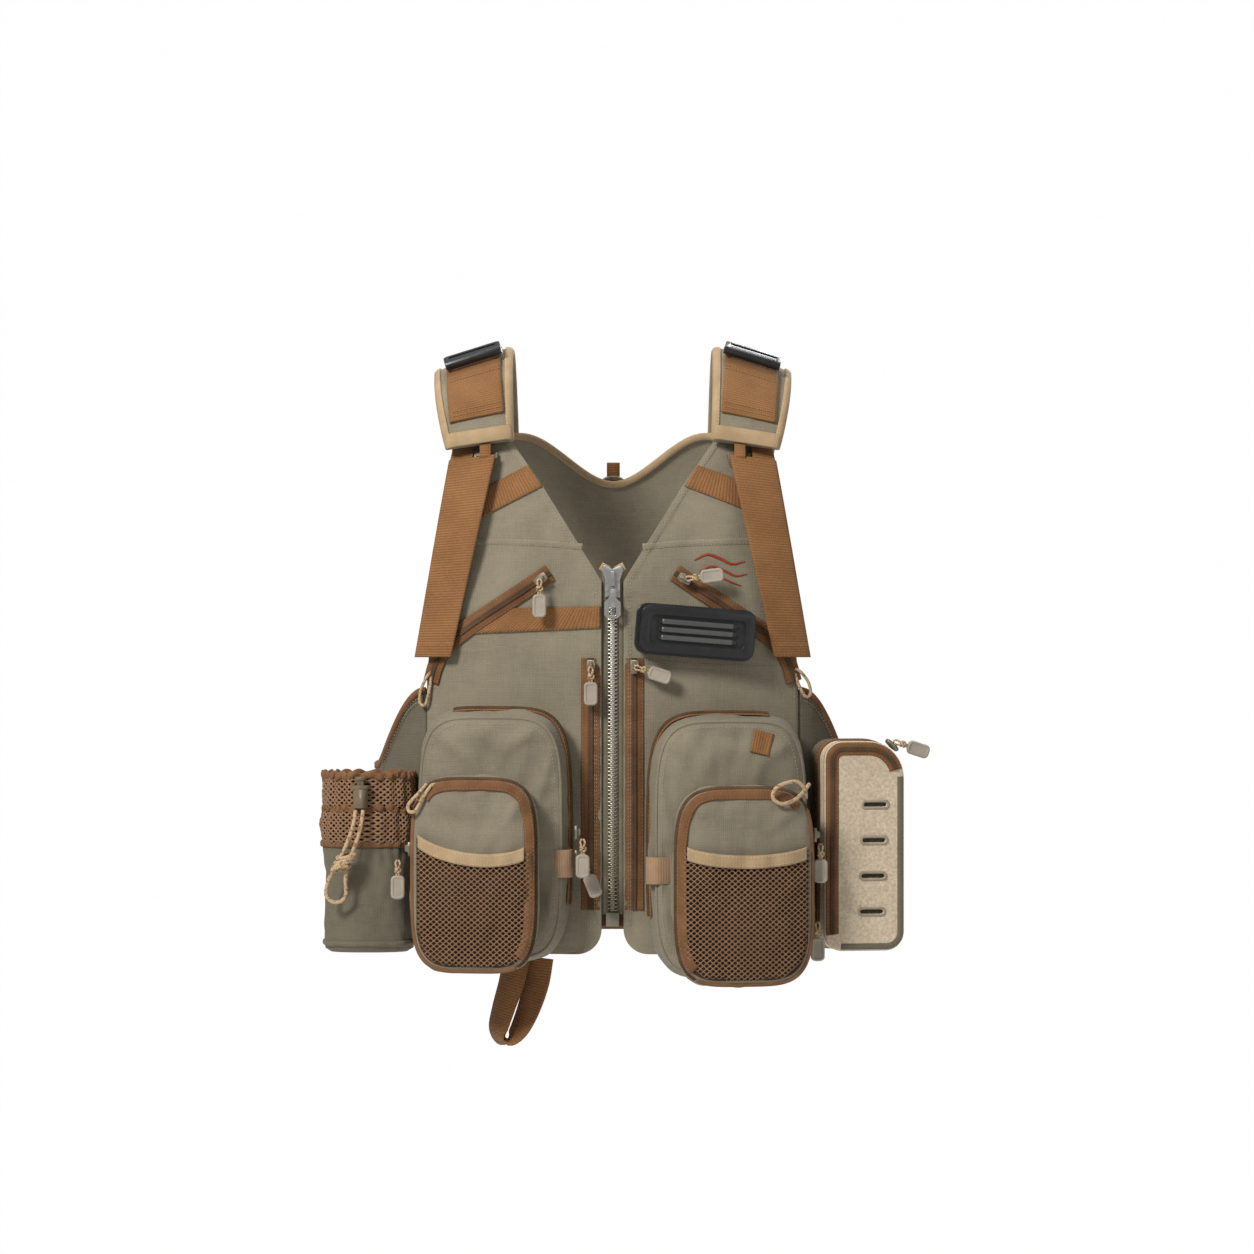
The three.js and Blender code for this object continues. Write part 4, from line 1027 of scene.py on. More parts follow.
BANDS = {
    "chest_band_right": [(-9.5, -209), (-80, -210.5), (-114, -231), (-9.5, -226.5)],
    "shoulder_band_right": [(-68.5, -95), (-108, -116), (-104.5, -137), (-56.5, -112.5)],
    "shoulder_band_left": [(68.5, -95), (112, -110.5), (116, -134.5), (58, -112.5)],
}
for band_name, corners in BANDS.items():
    soup = patch(corners, chest, PANEL_THICK - 0.6, PANEL_THICK + 1.5)
    piece(soup, band_name, webbing)
    a, b, c, d = (np.array(corner, float) for corner in corners)
    cuts = (0.04, 0.30, 0.62, 0.95) if "chest" in band_name else (0.10, 0.9)
    for share in cuts:
        top, bottom = a + (b - a) * share, d + (c - d) * share
        line = resample(np.array([top + (bottom - top) * 0.04, top + (bottom - top) * 0.96]), 1.5)
        sew("brown", chest, line, PANEL_THICK + 1.5, 2.6, 1.8, 0.3, 0, 0.1)
    for edge in ((a, b), (d, c)):
        middle = (a + b + c + d) / 4
        ends = [end + (middle - end) / np.linalg.norm(middle - end) * 1.8 for end in edge]
        sew("brown", chest, resample(np.array(ends), 1.5), PANEL_THICK + 1.5, 2.6, 1.8, 0.26, 0, 0.1)

# ------------------------------------------------------------------ zips on the chest

CHEST_LINE = np.array(
    [(50, -182), (72, -197), (95, -212), (118, -227.5), (133, -240), (142, -255), (146.5, -270)], float,
)


def sewn_zip(name, line, d, tape_width):
    """A chest zip's tape and coil, as two pieces, of which the tape stands for the CAD node."""
    tape, coil = Soup(), Soup()
    zip_on(chest, line, d, tape_width, 4.6, 1.7, tape, coil)
    piece(tape, f"{name}_tape", zip_tape, name)
    piece(coil, f"{name}_coil", zip_coil)


for side_name, side in SIDES:
    line = catmull(CHEST_LINE, np.linspace(0.0, 1, 120))[0] * (side, 1)
    sewn_zip(f"chest_zip_{side_name}", line, PANEL_THICK + 0.9, 14.5)
    line = np.array([(side * 17.4, -250.5), (side * 17.4, -452.5)])
    sewn_zip(f"edge_zip_{side_name}", line, PANEL_THICK - 0.2, 15.6)

# ------------------------------------------------------------------ main zip: moulded teeth on a woven tape

ZIP_TOP, ZIP_BOTTOM, TOOTH_PITCH = -187.0, -454.0, 3.05
chain_shader = Shader("chain_metal", 0.34, Metallic=0.8)
chain_split = chain_shader.tree.nodes.new("ShaderNodeSeparateXYZ")
chain_shader.put(chain_split.inputs[0], chain_shader.coords())
# the teeth run from pale at the top to dark lower down, by height: painted light and shade
chain_painted_shading = chain_shader.mix(
    chain_shader.span(chain_split.outputs["Z"], -0.42, -0.2), (0.30, 0.265, 0.19), (0.62, 0.60, 0.54),
)
chain_wear = chain_shader.noise(chain_shader.coords(), 500, 3)
chain_metal = chain_shader.finish(
    chain_shader.mix(
        chain_shader.span(chain_wear, 0.45, 0.7, 0, 0.5), chain_painted_shading, (0.16, 0.14, 0.10),
    ), chain_wear, 0.2, 0.0002
)


def tooth(soup, middle, side):
    """One moulded tooth: a rounded block with a swollen head that reaches across the centre."""
    stations = [
        (3.9, 0.55, 0.9), (3.4, 0.8, 1.2), (1.0, 0.72, 1.25), (-0.4, 0.98, 1.35), (-1.5, 0.98, 1.3),
        (-2.1, 0.5, 0.8),
    ]
    rings = []
    a = np.linspace(0, TAU, 8, endpoint=False) + TAU / 16
    for x, half_z, half_y in stations:
        c, s = np.cos(a), np.sin(a)
        ring = np.stack(
            [np.full(8, side * x), middle[1] - half_y * 1.2 * s, middle[2] + half_z * 1.15 * c], -1,
        )
        rings.append(ring)
    faces = grid_faces(8, len(stations), wrap_u=True).tolist()
    faces += [tuple(range(8)), tuple(range(len(stations) * 8 - 1, len(stations) * 8 - 9, -1))]
    soup.add(np.array(rings), faces)


for side_name, side in SIDES:
    teeth, tape = Soup(), Soup()
    start = ZIP_TOP - 2 - (TOOTH_PITCH / 2 if side > 0 else 0)
    for z in np.arange(start, ZIP_BOTTOM + 1, -TOOTH_PITCH):
        tooth(teeth, (0, -120.6, z), side)
    piece(teeth, f"main_zip_{side_name}_teeth", chain_metal, f"main_zip_{side_name}")
    line = np.stack(
        [np.full(90, side * 6.1), np.full(90, -118.6), np.linspace(ZIP_TOP + 9, ZIP_BOTTOM - 2, 90)], -1,
    )
    sweep(tape, line, np.tile((0.0, -1.0, 0.0), (90, 1)), band_profile(5.0, 1.2, 0.4))
    sweep(
        tape, line + (-side * 2.2, 0, 0), np.tile((0.0, -1.0, 0.0), (90, 1)), round_profile(0.9, 1.3, 8, 0.9),
    )
    piece(tape, f"main_zip_{side_name}_tape", olive_tape)
    end = Soup()
    line = np.stack(
        [np.linspace(side * 2.6, side * 9.5, 8), np.full(8, -119.0), np.linspace(-180.5, -176.5, 8)], -1,
    )
    sweep(end, line, np.tile((0.0, -1.0, 0.0), (8, 1)), band_profile(6.5, 1.6, 0.5))
    piece(end, f"main_zip_{side_name}_end", beige_binding)

# ------------------------------------------------------------------ shoulder pads, straps and tails

STRAP_FROM, STRAP_TO, STRAP_HALF = 0.105, 0.93, 22.0
STRAP_FOOT, STRAP_FACE = 9.3, 11.4  # the webbing's two faces, from the pad's own foot
PAD_PATH = 230.0  # the pad's length along its bow


def pad_normal(side, s, w, d):
    ds = on_pad(side, s + 0.005, w, d) - on_pad(side, s - 0.005, w, d)
    dw = on_pad(side, s, w + 0.01, d) - on_pad(side, s, w - 0.01, d)
    n = np.cross(ds, dw)
    n = unit(n)
    out = on_pad(side, s, w, np.asarray(d) + 1.0) - on_pad(side, s, w, d)
    return n * np.sign(np.sum(n * out, -1, keepdims=True))


def pad_top(s, w):
    """The height of the pad's upper face: full in the middle, pinched to its bound edges."""
    side_fall = (1 - np.abs(w) ** 5) ** 0.5
    end = np.minimum(s, 1 - s) * PAD_PATH
    end_fall = np.clip(end / 9, 0, 1) ** 0.5
    return 3.0 + 5.8 * np.minimum(side_fall, 0.1 + 0.9 * end_fall)


def shoulder_pad(name, side):
    w, s = np.meshgrid(np.sin(np.linspace(-1, 1, 40) * math.pi / 2), np.linspace(0.002, 0.998, 90))
    top_height = pad_top(s, w)
    flat = on_pad(side, s, w, 0)
    wrinkle = 0.3 * ripple(flat, 30, 5) * (1 - w**6)
    top = on_pad(side, s, w, top_height + wrinkle)
    bottom = on_pad(side, s, w, 9.0 - top_height - 3.2 + 0 * s)
    obj = piece(shell(top, bottom), f"pad_{name}", canvas, f"shoulder_pad_{name}")
    # a folded beige binding over each long edge and the back end
    binding = Soup()
    s_line = np.linspace(0.0, 1.0, 140)
    loops = [(s_line, np.full(140, sign * 0.97)) for sign in (-1, 1)]
    w_line = np.linspace(-0.97, 0.97, 60)
    loops += [(np.full(60, 0.988), w_line)]
    for s_path, w_path in loops:
        centre = on_pad(side, s_path, w_path, 4.3)
        up = pad_normal(side, s_path, w_path, 4.3)
        fold = [
            (-4.8, -3.2), (-4.8, 3.9), (-3.9, 4.6), (-1.4, 4.0), (0.8, 2.6), (1.6, 0), (0.8, -2.4),
            (-1.4, -3.4), (-3.9, -3.6),
        ]
        outward = np.cross(tangents(centre), up)
        middle_pad = on_pad(side, np.clip(s_path, 0.1, 0.9), 0 * w_path, 4.3)
        flip = np.sign(np.sum(outward * (centre - middle_pad), -1)).mean()
        profile = np.array(fold) * (1 if flip > 0 else -1, 1)
        sweep(binding, centre, up, profile)
        top = centre + up * 4.4
        stitch_run(THREADS["beige"], top, up, *TAPE_STITCH, (-3.6 if flip > 0 else 3.6), 0.0)
    piece(binding, f"pad_{name}_binding", beige_binding)
    # the beige tape across the pad's front end
    cross = Soup()
    s_at = 0.030
    w_line = np.linspace(-0.93, 0.93, 50)
    centre = on_pad(side, np.full(50, s_at), w_line, pad_top(s_at, w_line) + 0.2)
    up = pad_normal(side, np.full(50, s_at), w_line, 9.0)
    sweep(cross, centre, up, band_profile(12, 1.9, 0.6))
    for offset in (-4.4, 4.4):
        stitch_run(THREADS["beige"], centre, up, *TAPE_STITCH, offset, 1.4)
    piece(cross, f"pad_{name}_tape", beige_binding)


def shoulder_strap(name, side):
    """Webbing over the pad, with pairs of stitch rows across it near each end and one pair between."""
    across = np.linspace(-1, 1, 17)
    s = np.linspace(STRAP_FROM, STRAP_TO, 130)
    a, s = np.meshgrid(across, s)
    half_pad = 27 + 5 * 4 * s * (1 - s)
    w = a * (STRAP_HALF / half_pad)
    wave = 0.35 * np.sin(s * 40) * (1 - a**2)
    top = on_pad(side, s, w, STRAP_FACE + wave - 0.5 * a**8)
    bottom = on_pad(side, s, w, STRAP_FOOT)
    along = np.concatenate([[0], np.cumsum(np.linalg.norm(np.diff(top[:, 8], axis=0), axis=-1))])
    uv = np.stack([(a + 1) * STRAP_HALF, np.broadcast_to(along[:, None], a.shape)], -1)
    piece(shell(top, bottom, uv), f"strap_{name}", pad_webbing, f"shoulder_webbing_{name}")
    for s_at in (0.125, 0.145, 0.30, 0.315, 0.87, 0.885):
        w_line = np.linspace(-0.70, 0.70, 40)
        line = on_pad(side, np.full(40, s_at), w_line, 11.6)
        stitch_run(
            THREADS["brown"], line, pad_normal(side, np.full(40, s_at), w_line, 11.6), 2.7, 1.9, 0.3, 0, 0,
        )


def webbing_loop(name, path, width):
    """A narrow loop of webbing round a ring, its width along x."""
    line = curve_through(path, 1.0)
    piece(
        swept(line, np.cross(tangents(line), (1.0, 0, 0)), band_profile(width, 1.3, 0.4)), name, webbing,
    )


def tail_point(side, u, v, d):
    half = mix(19.0, 15.0, v)
    x = mix(113.0, 145.0, v) + (2 * u - 1) * half
    z = -88 - 0.13 * (x - 107) * (1 - v) - 162 * v
    return on_front(side * x, z, d)


def tail_lift(v):
    """The tail hangs off the chest in a soft bow, as a strap does."""
    return mix(14.0, 9.0, v) + 1.1 * np.sin(v * math.pi) + 0.35 * np.sin(v * 11 + 1) * (1 - v)


def strap_tail(name, side):
    u, v = np.meshgrid(np.linspace(0, 1, 17), np.linspace(0, 1, 120))
    lift = tail_lift(v)
    turned = smoothstep(v, 0.925, 0.935)
    bulk = 2.4 + 1.1 * turned - 0.4 * np.abs(2 * u - 1) ** 8
    top = tail_point(side, u, v, lift + bulk)
    bottom = tail_point(side, u, v, lift)
    uv = np.stack([u * 34, v * 165], -1)
    soup = shell(top, bottom, uv)
    piece(soup, f"tail_{name}", webbing, f"strap_tail_{name}", body=f"strap_tail_{name}")
    # the webbing that runs on from the tail's hinge to under the pad's front end
    u, v = np.meshgrid(np.linspace(0.5, 0.98, 13), np.linspace(-0.11, 0.035, 20))
    rise = np.interp(v, [-0.11, -0.05, 0.0, 0.035], [3.5, 6.0, 10.6, 11.7])
    soup = shell(
        tail_point(side, u, v, rise + 2.0), tail_point(side, u, v, rise), np.stack([u * 36, v * 165], -1),
    )
    piece(soup, f"tail_{name}_root", webbing)
    thread = Soup()
    for v_at, reach in ((0.94, 0.9), (0.985, 0.9), (0.03, 0.9)):
        u_line = np.linspace(0.5 - reach / 2, 0.5 + reach / 2, 40)
        v_line = np.full(40, v_at)
        line = tail_point(
            side, u_line, v_line, tail_lift(v_line) + 3.5 * (v_at > 0.9) + 2.4 * (v_at < 0.9),
        )
        normal = np.tile((side * 0.25, -0.97, 0.0), (40, 1))
        stitch_run(thread, line, normal, 2.6, 1.9, 0.32, 0, 0.1)
    piece(thread, f"tail_{name}_stitches", stitch_brown, body=f"strap_tail_{name}")
    # the loop of webbing that holds the D-ring under the pad's front end
    low, high = box_mm(f"d_ring_{name}")
    ring = (low + high) / 2
    back, front, bottom, top_z = high[1] + 1.6, low[1] - 1.2, high[2] - 5.4, high[2] + 7
    path = [
        (ring[0], front + 3, top_z), (ring[0], front, high[2] - 1), (ring[0], front + 0.4, bottom + 1.2),
        (ring[0], ring[1], bottom),
    ]
    path += [(ring[0], back - 0.6, bottom + 1.4), (ring[0], back + 0.4, high[2] - 1), (ring[0], back, top_z)]
    webbing_loop(f"d_ring_{name}_loop", path, 9)


for side_name, side in SIDES:
    shoulder_pad(side_name, side)
    shoulder_strap(side_name, side)
    strap_tail(side_name, side)

# ------------------------------------------------------------------ pockets


def ring_faces(soup, rings, cap_start=False, cap_end=False):
    """Joins closed rings of points into one skin."""
    count = rings.shape[1]
    faces = grid_faces(count, len(rings), wrap_u=True).tolist()
    if cap_start:
        faces.append(tuple(range(count))[::-1])
    if cap_end:
        faces.append(tuple(range((len(rings) - 1) * count, len(rings) * count)))
    soup.add(rings, faces)


# the rings of a pocket's face, as shares of its outline
FACE_SHARES = (
    0.985, 0.96, 0.93, 0.9, 0.86, 0.82, 0.77, 0.72, 0.66, 0.6, 0.53, 0.46, 0.39, 0.32, 0.25, 0.18, 0.11, 0.05,
)


class Pocket:
    """A gusseted pocket: a base outline on the vest, a smaller face outline, and a crowned face."""

    def __init__(self, name, x, z, half_w, half_h, foot, depth, square, inner, rise, tuck, seed):
        self.name, self.square, self.foot, self.depth, self.seed = name, square, foot, depth, seed
        self.base = (x, z + rise / 2, half_w, half_h + rise / 2)
        self.face = (x - inner * tuck / 2, z, half_w - tuck / 2, half_h - 0.5)
        self.rim = 0.84
        self.folds = []

    def outline(self, box, count=168, grow=0.0):
        x, z, w, h = box
        a = np.linspace(0, TAU, 1441)
        power = 2 / self.square
        px = x + (w + grow) * np.sign(np.cos(a)) * np.abs(np.cos(a)) ** power
        pz = z + (h + grow) * np.sign(np.sin(a)) * np.abs(np.sin(a)) ** power
        return resample(
            np.stack([px, pz], -1)[:-1], lengths_along(np.stack([px, pz], -1))[-1] / count, closed=True,
        )[:count]

    def share(self, x, z):
        fx, fz, w, h = self.face
        n = self.square
        return (np.abs((x - fx) / w) ** n + np.abs((z - fz) / h) ** n) ** (1 / n)

    def relief(self, x, z):
        flat = np.stack([x, z * 0.7, 0 * x], -1)
        total = 1.25 * ripple(flat, 56, self.seed) + 0.55 * ripple(flat, 20, self.seed + 1, 2)
        for x0, z0, x1, z1, width, height in self.folds:
            dx, dz = x1 - x0, z1 - z0
            t = np.clip(((x - x0) * dx + (z - z0) * dz) / (dx * dx + dz * dz), 0, 1)
            away = np.hypot(x - x0 - t * dx, z - z0 - t * dz)
            total = total + 1.45 * height * np.exp(-((away / width) ** 2)) * np.sin(
                math.pi * np.clip(0.12 + 0.76 * t, 0, 1)
            )
        return total

    def crown(self, x, z, d=0.0):
        """The face surface, d proud of the cloth."""
        x, z = np.asarray(x, float), np.asarray(z, float)
        rho = np.clip(self.share(x, z), 0, 1)
        height = self.rim + (1 - self.rim) * (1 - rho**7) ** 0.5
        soft = self.relief(x, z) * smoothstep(1 - rho, 0.0, 0.12)
        return on_front(x, z, self.foot + self.depth * height + soft + 1.2 * (1 - rho**2) - 1.0 + d)

    def build(self, material, node, fill=0.5):
        count = 168
        base, face = self.outline(self.base, count), self.outline(self.face, count)
        rings = []
        levels = np.concatenate([[0.0, 0.02], np.linspace(0.08, 0.94, 12), [0.98, 1.0]])
        out = base - np.array(self.base[:2])
        out = unit(out)
        for t in levels:
            flat = mix(base, face, smoothstep(t, -0.25, 1.15))
            bow = 2.2 * math.sin(math.pi * t)
            at = np.concatenate([flat, np.full((count, 1), 14 * t)], -1)
            flat = flat + out * (bow + 0.8 * ripple(at, 42, self.seed + 3)[:, None] * math.sin(math.pi * t))
            rings.append(
                on_front(flat[:, 0], flat[:, 1], self.foot + self.depth * self.rim * t - 1.0 * (t > 0.5))
            )
        self.close(rings, face, material, node, fill)

    def close(self, rings, face, material, node, fill):
        """Adds the face's rings to the wall's, and makes the pocket's body of them."""
        middle = np.array(self.face[:2])
        for t in FACE_SHARES:
            flat = middle + (face - middle) * t
            rings.append(self.crown(flat[:, 0], flat[:, 1]))
        soup = Soup()
        ring_faces(soup, np.array(rings), True, True)
        obj = piece(soup, f"{self.name}_body", material, node)

    def rim_line(self, grow, spacing=1.6):
        flat = self.outline(self.face, 260, grow)
        return resample(flat, spacing, closed=True)

    def wall_line(self, level, keep, grow=1.0):
        """A line round the gusset wall at a level from base to rim, with its outward normals."""
        base, face = self.outline(self.base, 400), self.outline(self.face, 400)
        flat = mix(base, face, float(smoothstep(level, -0.25, 1.15)))
        out = base - np.array(self.base[:2])
        normal2 = np.stack([tangents(flat, True)[:, 1], -tangents(flat, True)[:, 0]], -1)
        normal2 *= np.sign(np.sum(normal2 * out, -1, keepdims=True))
        out = unit(out)
        flat = flat + out * 2.2 * math.sin(math.pi * level) + normal2 * grow
        chosen = keep(flat[:, 0], flat[:, 1])
        start = int(np.argmax(chosen & ~np.roll(chosen, 1)))
        order = np.roll(np.arange(400), -start)
        order = order[chosen[order]]
        points = on_front(flat[order, 0], flat[order, 1], self.foot + self.depth * self.rim * level)
        normals = np.stack([normal2[order, 0], np.full(len(order), -0.35), normal2[order, 1]], -1)
        return points, unit(normals)


def lattice(place, x0, x1, z0, z1, pitch_x, pitch_z, inside, hole=0.7, dip=0.35):
    """Knitted mesh of diamond holes, its strands standing proud of their edges."""
    cols, rows = int((x1 - x0) / pitch_x) + 2, int((z1 - z0) / pitch_z) + 2
    c, r = np.meshgrid(np.arange(cols), np.arange(rows))
    cx = x0 + (c + 0.5 * (r % 2)) * pitch_x
    cz = z0 + r * pitch_z
    keep = inside(cx, cz)
    cx, cz = cx[keep], cz[keep]
    box = np.array(
        [(0, -1), (0.25, -0.5), (0.5, 0), (0.25, 0.5), (0, 1), (-0.25, 0.5), (-0.5, 0), (-0.25, -0.5)]
    )
    ring = box * hole * np.tile([[0.92], [1.06]], (4, 1))
    mid = 0.5 * (box + ring)
    count = len(cx)
    verts = []
    for shape, height in ((box, 0.0), (mid, 0.0), (ring, -dip)):
        px = cx[:, None] + shape[None, :, 0] * pitch_x
        pz = cz[:, None] + shape[None, :, 1] * pitch_z
        verts.append(place(px, pz, height))
    verts = np.stack(verts, 1)  # cell, ring, corner, xyz
    k = np.arange(8)
    cell = np.concatenate(
        [
            np.stack([k + 8 * j, (k + 1) % 8 + 8 * j, (k + 1) % 8 + 8 * (j + 1), k + 8 * (j + 1)], -1)
            for j in (0, 1)
        ]
    )
    faces = (cell[None] + 24 * np.arange(count)[:, None, None]).reshape(-1, 4)
    return verts.reshape(-1, 3), faces


def net_object(name, verts, faces, material, thickness=0.55, flip=False):
    if flip:
        faces = faces[:, ::-1]
    obj = mesh_object(name, verts, faces, material)
    bm = bmesh.new()
    bm.from_mesh(obj.data)
    bmesh.ops.remove_doubles(bm, verts=bm.verts, dist=0.00004)
    bm.to_mesh(obj.data)
    bm.free()
    solid = obj.modifiers.new("solid", "SOLIDIFY")
    solid.thickness = thickness * MM
    solid.offset = -1
    apply_modifiers(obj)
    obj.data.polygons.foreach_set("use_smooth", [True] * len(obj.data.polygons))
    return obj


CARGO_FOOT, CARGO_DEPTH, FRONT_FOOT, FRONT_DEPTH_MM = 5.8, 40.0, 47.6, 31.0
cargo = {
    "right": Pocket("cargo_right", -93.2, -393.5, 60.8, 96.5, CARGO_FOOT, CARGO_DEPTH, 4.6, 1, 7, 8, 31),
    "left": Pocket("cargo_left", 91.2, -402.0, 62.8, 102.0, CARGO_FOOT, CARGO_DEPTH, 4.6, -1, 6, 6, 47),
}
front = {
    "right": Pocket("front_right", -108.4, -421.6, 49.6, 76.0, FRONT_FOOT, FRONT_DEPTH_MM, 4.4, 1, 0, 2, 53),
    "left": Pocket("front_left", 103.2, -430.4, 54.8, 77.6, FRONT_FOOT, FRONT_DEPTH_MM, 4.4, -1, 0, 2, 67),
}
cargo["right"].folds = [
    (-140, -312, -112, -330, 5, 2.2), (-60, -306, -84, -322, 4.5, 2.4), (-50, -330, -62, -372, 4, 1.8),
    (-120, -318, -70, -338, 6, -1.6), (-46, -420, -50, -470, 4, 1.8), (-148, -330, -142, -352, 4, 1.6),
]
cargo["left"].folds = [
    (40, -316, 66, -330, 5, 2.2), (142, -318, 118, -332, 5, 2.0), (70, -310, 120, -316, 5, -1.5),
    (34, -400, 40, -470, 4, 2.0), (38, -340, 42, -380, 3.6, 1.6), (44, -490, 90, -500, 5, 1.4),
]
front["right"].folds = [
    (-150, -356, -120, -372, 5, 1.6), (-70, -356, -84, -380, 4, 1.8), (-140, -376, -90, -384, 6, -1.4),
]
front["left"].folds = [
    (58, -362, 84, -380, 5, 1.8), (150, -366, 126, -384, 5, 1.6), (80, -378, 130, -392, 6, -1.4),
]


def dress_cargo(side_name, inner):
    """A large pocket and its trims; inner is the direction along x towards the vest's middle."""
    body = cargo[side_name]
    body.build(pocket_canvas, f"cargo_pocket_{side_name}")
    # the raised seam round the face, with a row of stitches inside it
    flat = body.rim_line(-0.6)
    p, n = surface_line(body.crown, flat, 0.0)
    n = n + np.concatenate(
        [0.6 * (flat - np.array(body.face[:2])) / 60, np.zeros((len(flat), 1))], -1,
    )[:, [0, 2, 1]]
    tube(STRIPS.setdefault("pocket_seam", Soup()), p, 1.35, 8, closed=True)
    sew("olive", body.crown, body.rim_line(-5.0), 0.0, *POCKET_STITCH, 0, 0.15, closed=True)
    # the zip over the top and down the inner side of the gusset
    middle_x, middle_z = body.base[:2]

    def keep(x, z):
        inward = inner * (x - middle_x)
        over_top = (z > middle_z + body.base[3] * 0.80) & (inward > -34)
        down_side = (inward > body.base[2] * 0.72) & (z > middle_z - 58)
        return over_top | down_side

    p, n = body.wall_line(0.42, keep, 0.2)
    sweep(STRIPS["piping"], p, n, band_profile(9.0, 1.0, 0.4))
    coil_on(STRIPS["coil"], p, n, 4.2, 1.6, 0.9)
    p, n = body.wall_line(0.42, keep, 1.2)
    for offset in (-3.4, 3.4):
        stitch_run(THREADS["brown"], p, n, *ZIP_STITCH, offset, 0.1)


def dress_front(side_name, inner):
    """A small pocket on a large one: its band, coil, piping, net and hem."""
    pouch = front[side_name]
    pouch.build(pocket_canvas, f"front_pocket_{side_name}")
    fx, fz, fw, fh = pouch.face
    # a brown band along the top and the side nearest the middle
    ring = pouch.rim_line(-4.4, 1.4)
    on_band = (ring[:, 1] > fz + fh * 0.80) | (inner * (ring[:, 0] - fx) > fw * 0.72)
    order = np.roll(np.arange(len(ring)), -int(np.argmax(on_band & ~np.roll(on_band, 1))))
    band_line = ring[order][on_band[order]]
    sewn_strip(
        "tape", "brown", pouch.crown, band_line, 0.2, band_profile(8.4, 1.3, 0.5),
        ZIP_STITCH, (-3.0, 3.0), 1.3,
    )
    whole = pouch.rim_line(0.0, 1.4)
    out = whole - np.array((fx, fz))
    out = unit(out)
    sel = (whole[:, 1] > fz + fh * 0.78) | (inner * (whole[:, 0] - fx) > fw * 0.70)
    order = np.roll(np.arange(len(whole)), -int(np.argmax(sel & ~np.roll(sel, 1))))
    edge_flat, edge_out = whole[order][sel[order]], out[order][sel[order]]
    p = pouch.crown(edge_flat[:, 0], edge_flat[:, 1], -1.6)
    n = np.stack([edge_out[:, 0], np.full(len(edge_out), -0.55), edge_out[:, 1]], -1)
    n = unit(n)
    coil_on(STRIPS["coil"], p, n, 4.4, 1.8, 0.2)
    edge_flat = whole[order][~sel[order]]
    p, n = surface_line(pouch.crown, edge_flat, -0.3)
    tube(STRIPS["piping"], p, 2.2, 8)

    # the beige hem that droops across the face, and the net pocket below it
    left, right = fx - fw + (4 if inner > 0 else 8.5), fx + fw - (8.5 if inner > 0 else 4)
    drop = {"right": (-389.5, -403.5, -398.5), "left": (-398.5, -405.5, -399.0)}[side_name]
    hem_x = np.linspace(left, right, 70)
    t = (hem_x - left) / (right - left)
    hem_top = drop[0] * (1 - t) + drop[2] * t + (drop[1] - (drop[0] + drop[2]) / 2) * (4 * t * (1 - t)) ** 0.8

    def hem_at(x):
        return np.interp(x, hem_x, hem_top)

    def bulge(x, z):
        """The net stands off the pocket most just below its hem's middle."""
        rho = np.clip(pouch.share(x, z), 0, 1)
        below = np.clip(hem_at(x) - z, 0, 200)
        rise = 3.6 * (1 - rho**4) * (0.45 + 0.55 * np.exp(-below / 60))
        return 1.0 + rise + 0.5 * ripple(np.stack([x, z, 0 * x], -1), 34, pouch.seed + 9, 2) * (1 - rho)

    def net_place(x, z, h):
        return pouch.crown(x, z, bulge(x, z) + h)

    def limit(x, z):
        return (pouch.share(x, z) < 0.945) & (z < hem_at(x) - 3)

    verts, faces = lattice(net_place, left - 2, right + 2, fz - fh, drop[0] + 4, 5.0, 2.15, limit, 0.73, 0.6)
    obj = net_object(f"front_{side_name}_net", verts, faces, net, 0.6)
    put(obj, "root", ())
    # a dark sheet under the net: painted shade inside the net pocket
    u, v = np.meshgrid(np.linspace(0, 1, 50), np.linspace(0, 1, 44))
    x = mix(left - 1.0, right + 1.0, u)
    z = mix(hem_at(x) - 3, fz - fh + 3.0, v)
    rho = pouch.share(x, z)
    shrink = np.where(rho > 0.965, 0.965 / np.maximum(rho, 1e-6), 1.0)
    x, z = fx + (x - fx) * shrink, fz + (z - fz) * shrink
    soup = shell(pouch.crown(x, z, 0.55), pouch.crown(x, z, -0.3))
    piece(soup, f"front_{side_name}_inside", painted_shade_sheet)
    # hem
    v = np.linspace(0, 1, 7)
    hx, hv = np.meshgrid(hem_x, v)
    hz = hem_at(hx) - 10.5 * hv
    proud = bulge(hx, hz) + 0.9 + 0.5 * np.sin(hv * math.pi)
    soup = shell(
        pouch.crown(hx, hz, proud + 0.5), pouch.crown(hx, hz, proud - 0.9), np.stack([hv * 10.5, hx], -1),
    )
    piece(soup, f"front_{side_name}_hem", beige_binding)
    for share in (0.16, 0.84):
        line_z = hem_at(hem_x) - 10.5 * share
        p = pouch.crown(hem_x, line_z, bulge(hem_x, line_z) + 1.7)
        stitch_run(THREADS["beige"], p, np.tile((0, -1.0, 0), (len(p), 1)), *TAPE_STITCH, 0, 0.05)


for side_name, side in SIDES:
    dress_cargo(side_name, -side)
    dress_front(side_name, -side)

# ------------------------------------------------------------------ side wings

WING_EDGE, WING_THICK, WING_BOTTOM = 151.8, 3.4, -480.0


def wing_top(t):
    return mix(-276.0, -338.0, smoothstep(t, 0, 0.38)) + 38.0 * smoothstep(t, 0.55, 1)


def wing_relief(points, v):
    """Folds that fan down and forward over the hip."""
    slant = points[..., 1] * 0.9 + points[..., 2] * 0.55
    folds = np.sin(slant / 8.5 + 1.4 * np.sin(points[..., 2] / 31)) * np.exp(-((v - 0.35) / 0.4) ** 2)
    return 1.5 * folds + 0.8 * ripple(points, 60, 71)


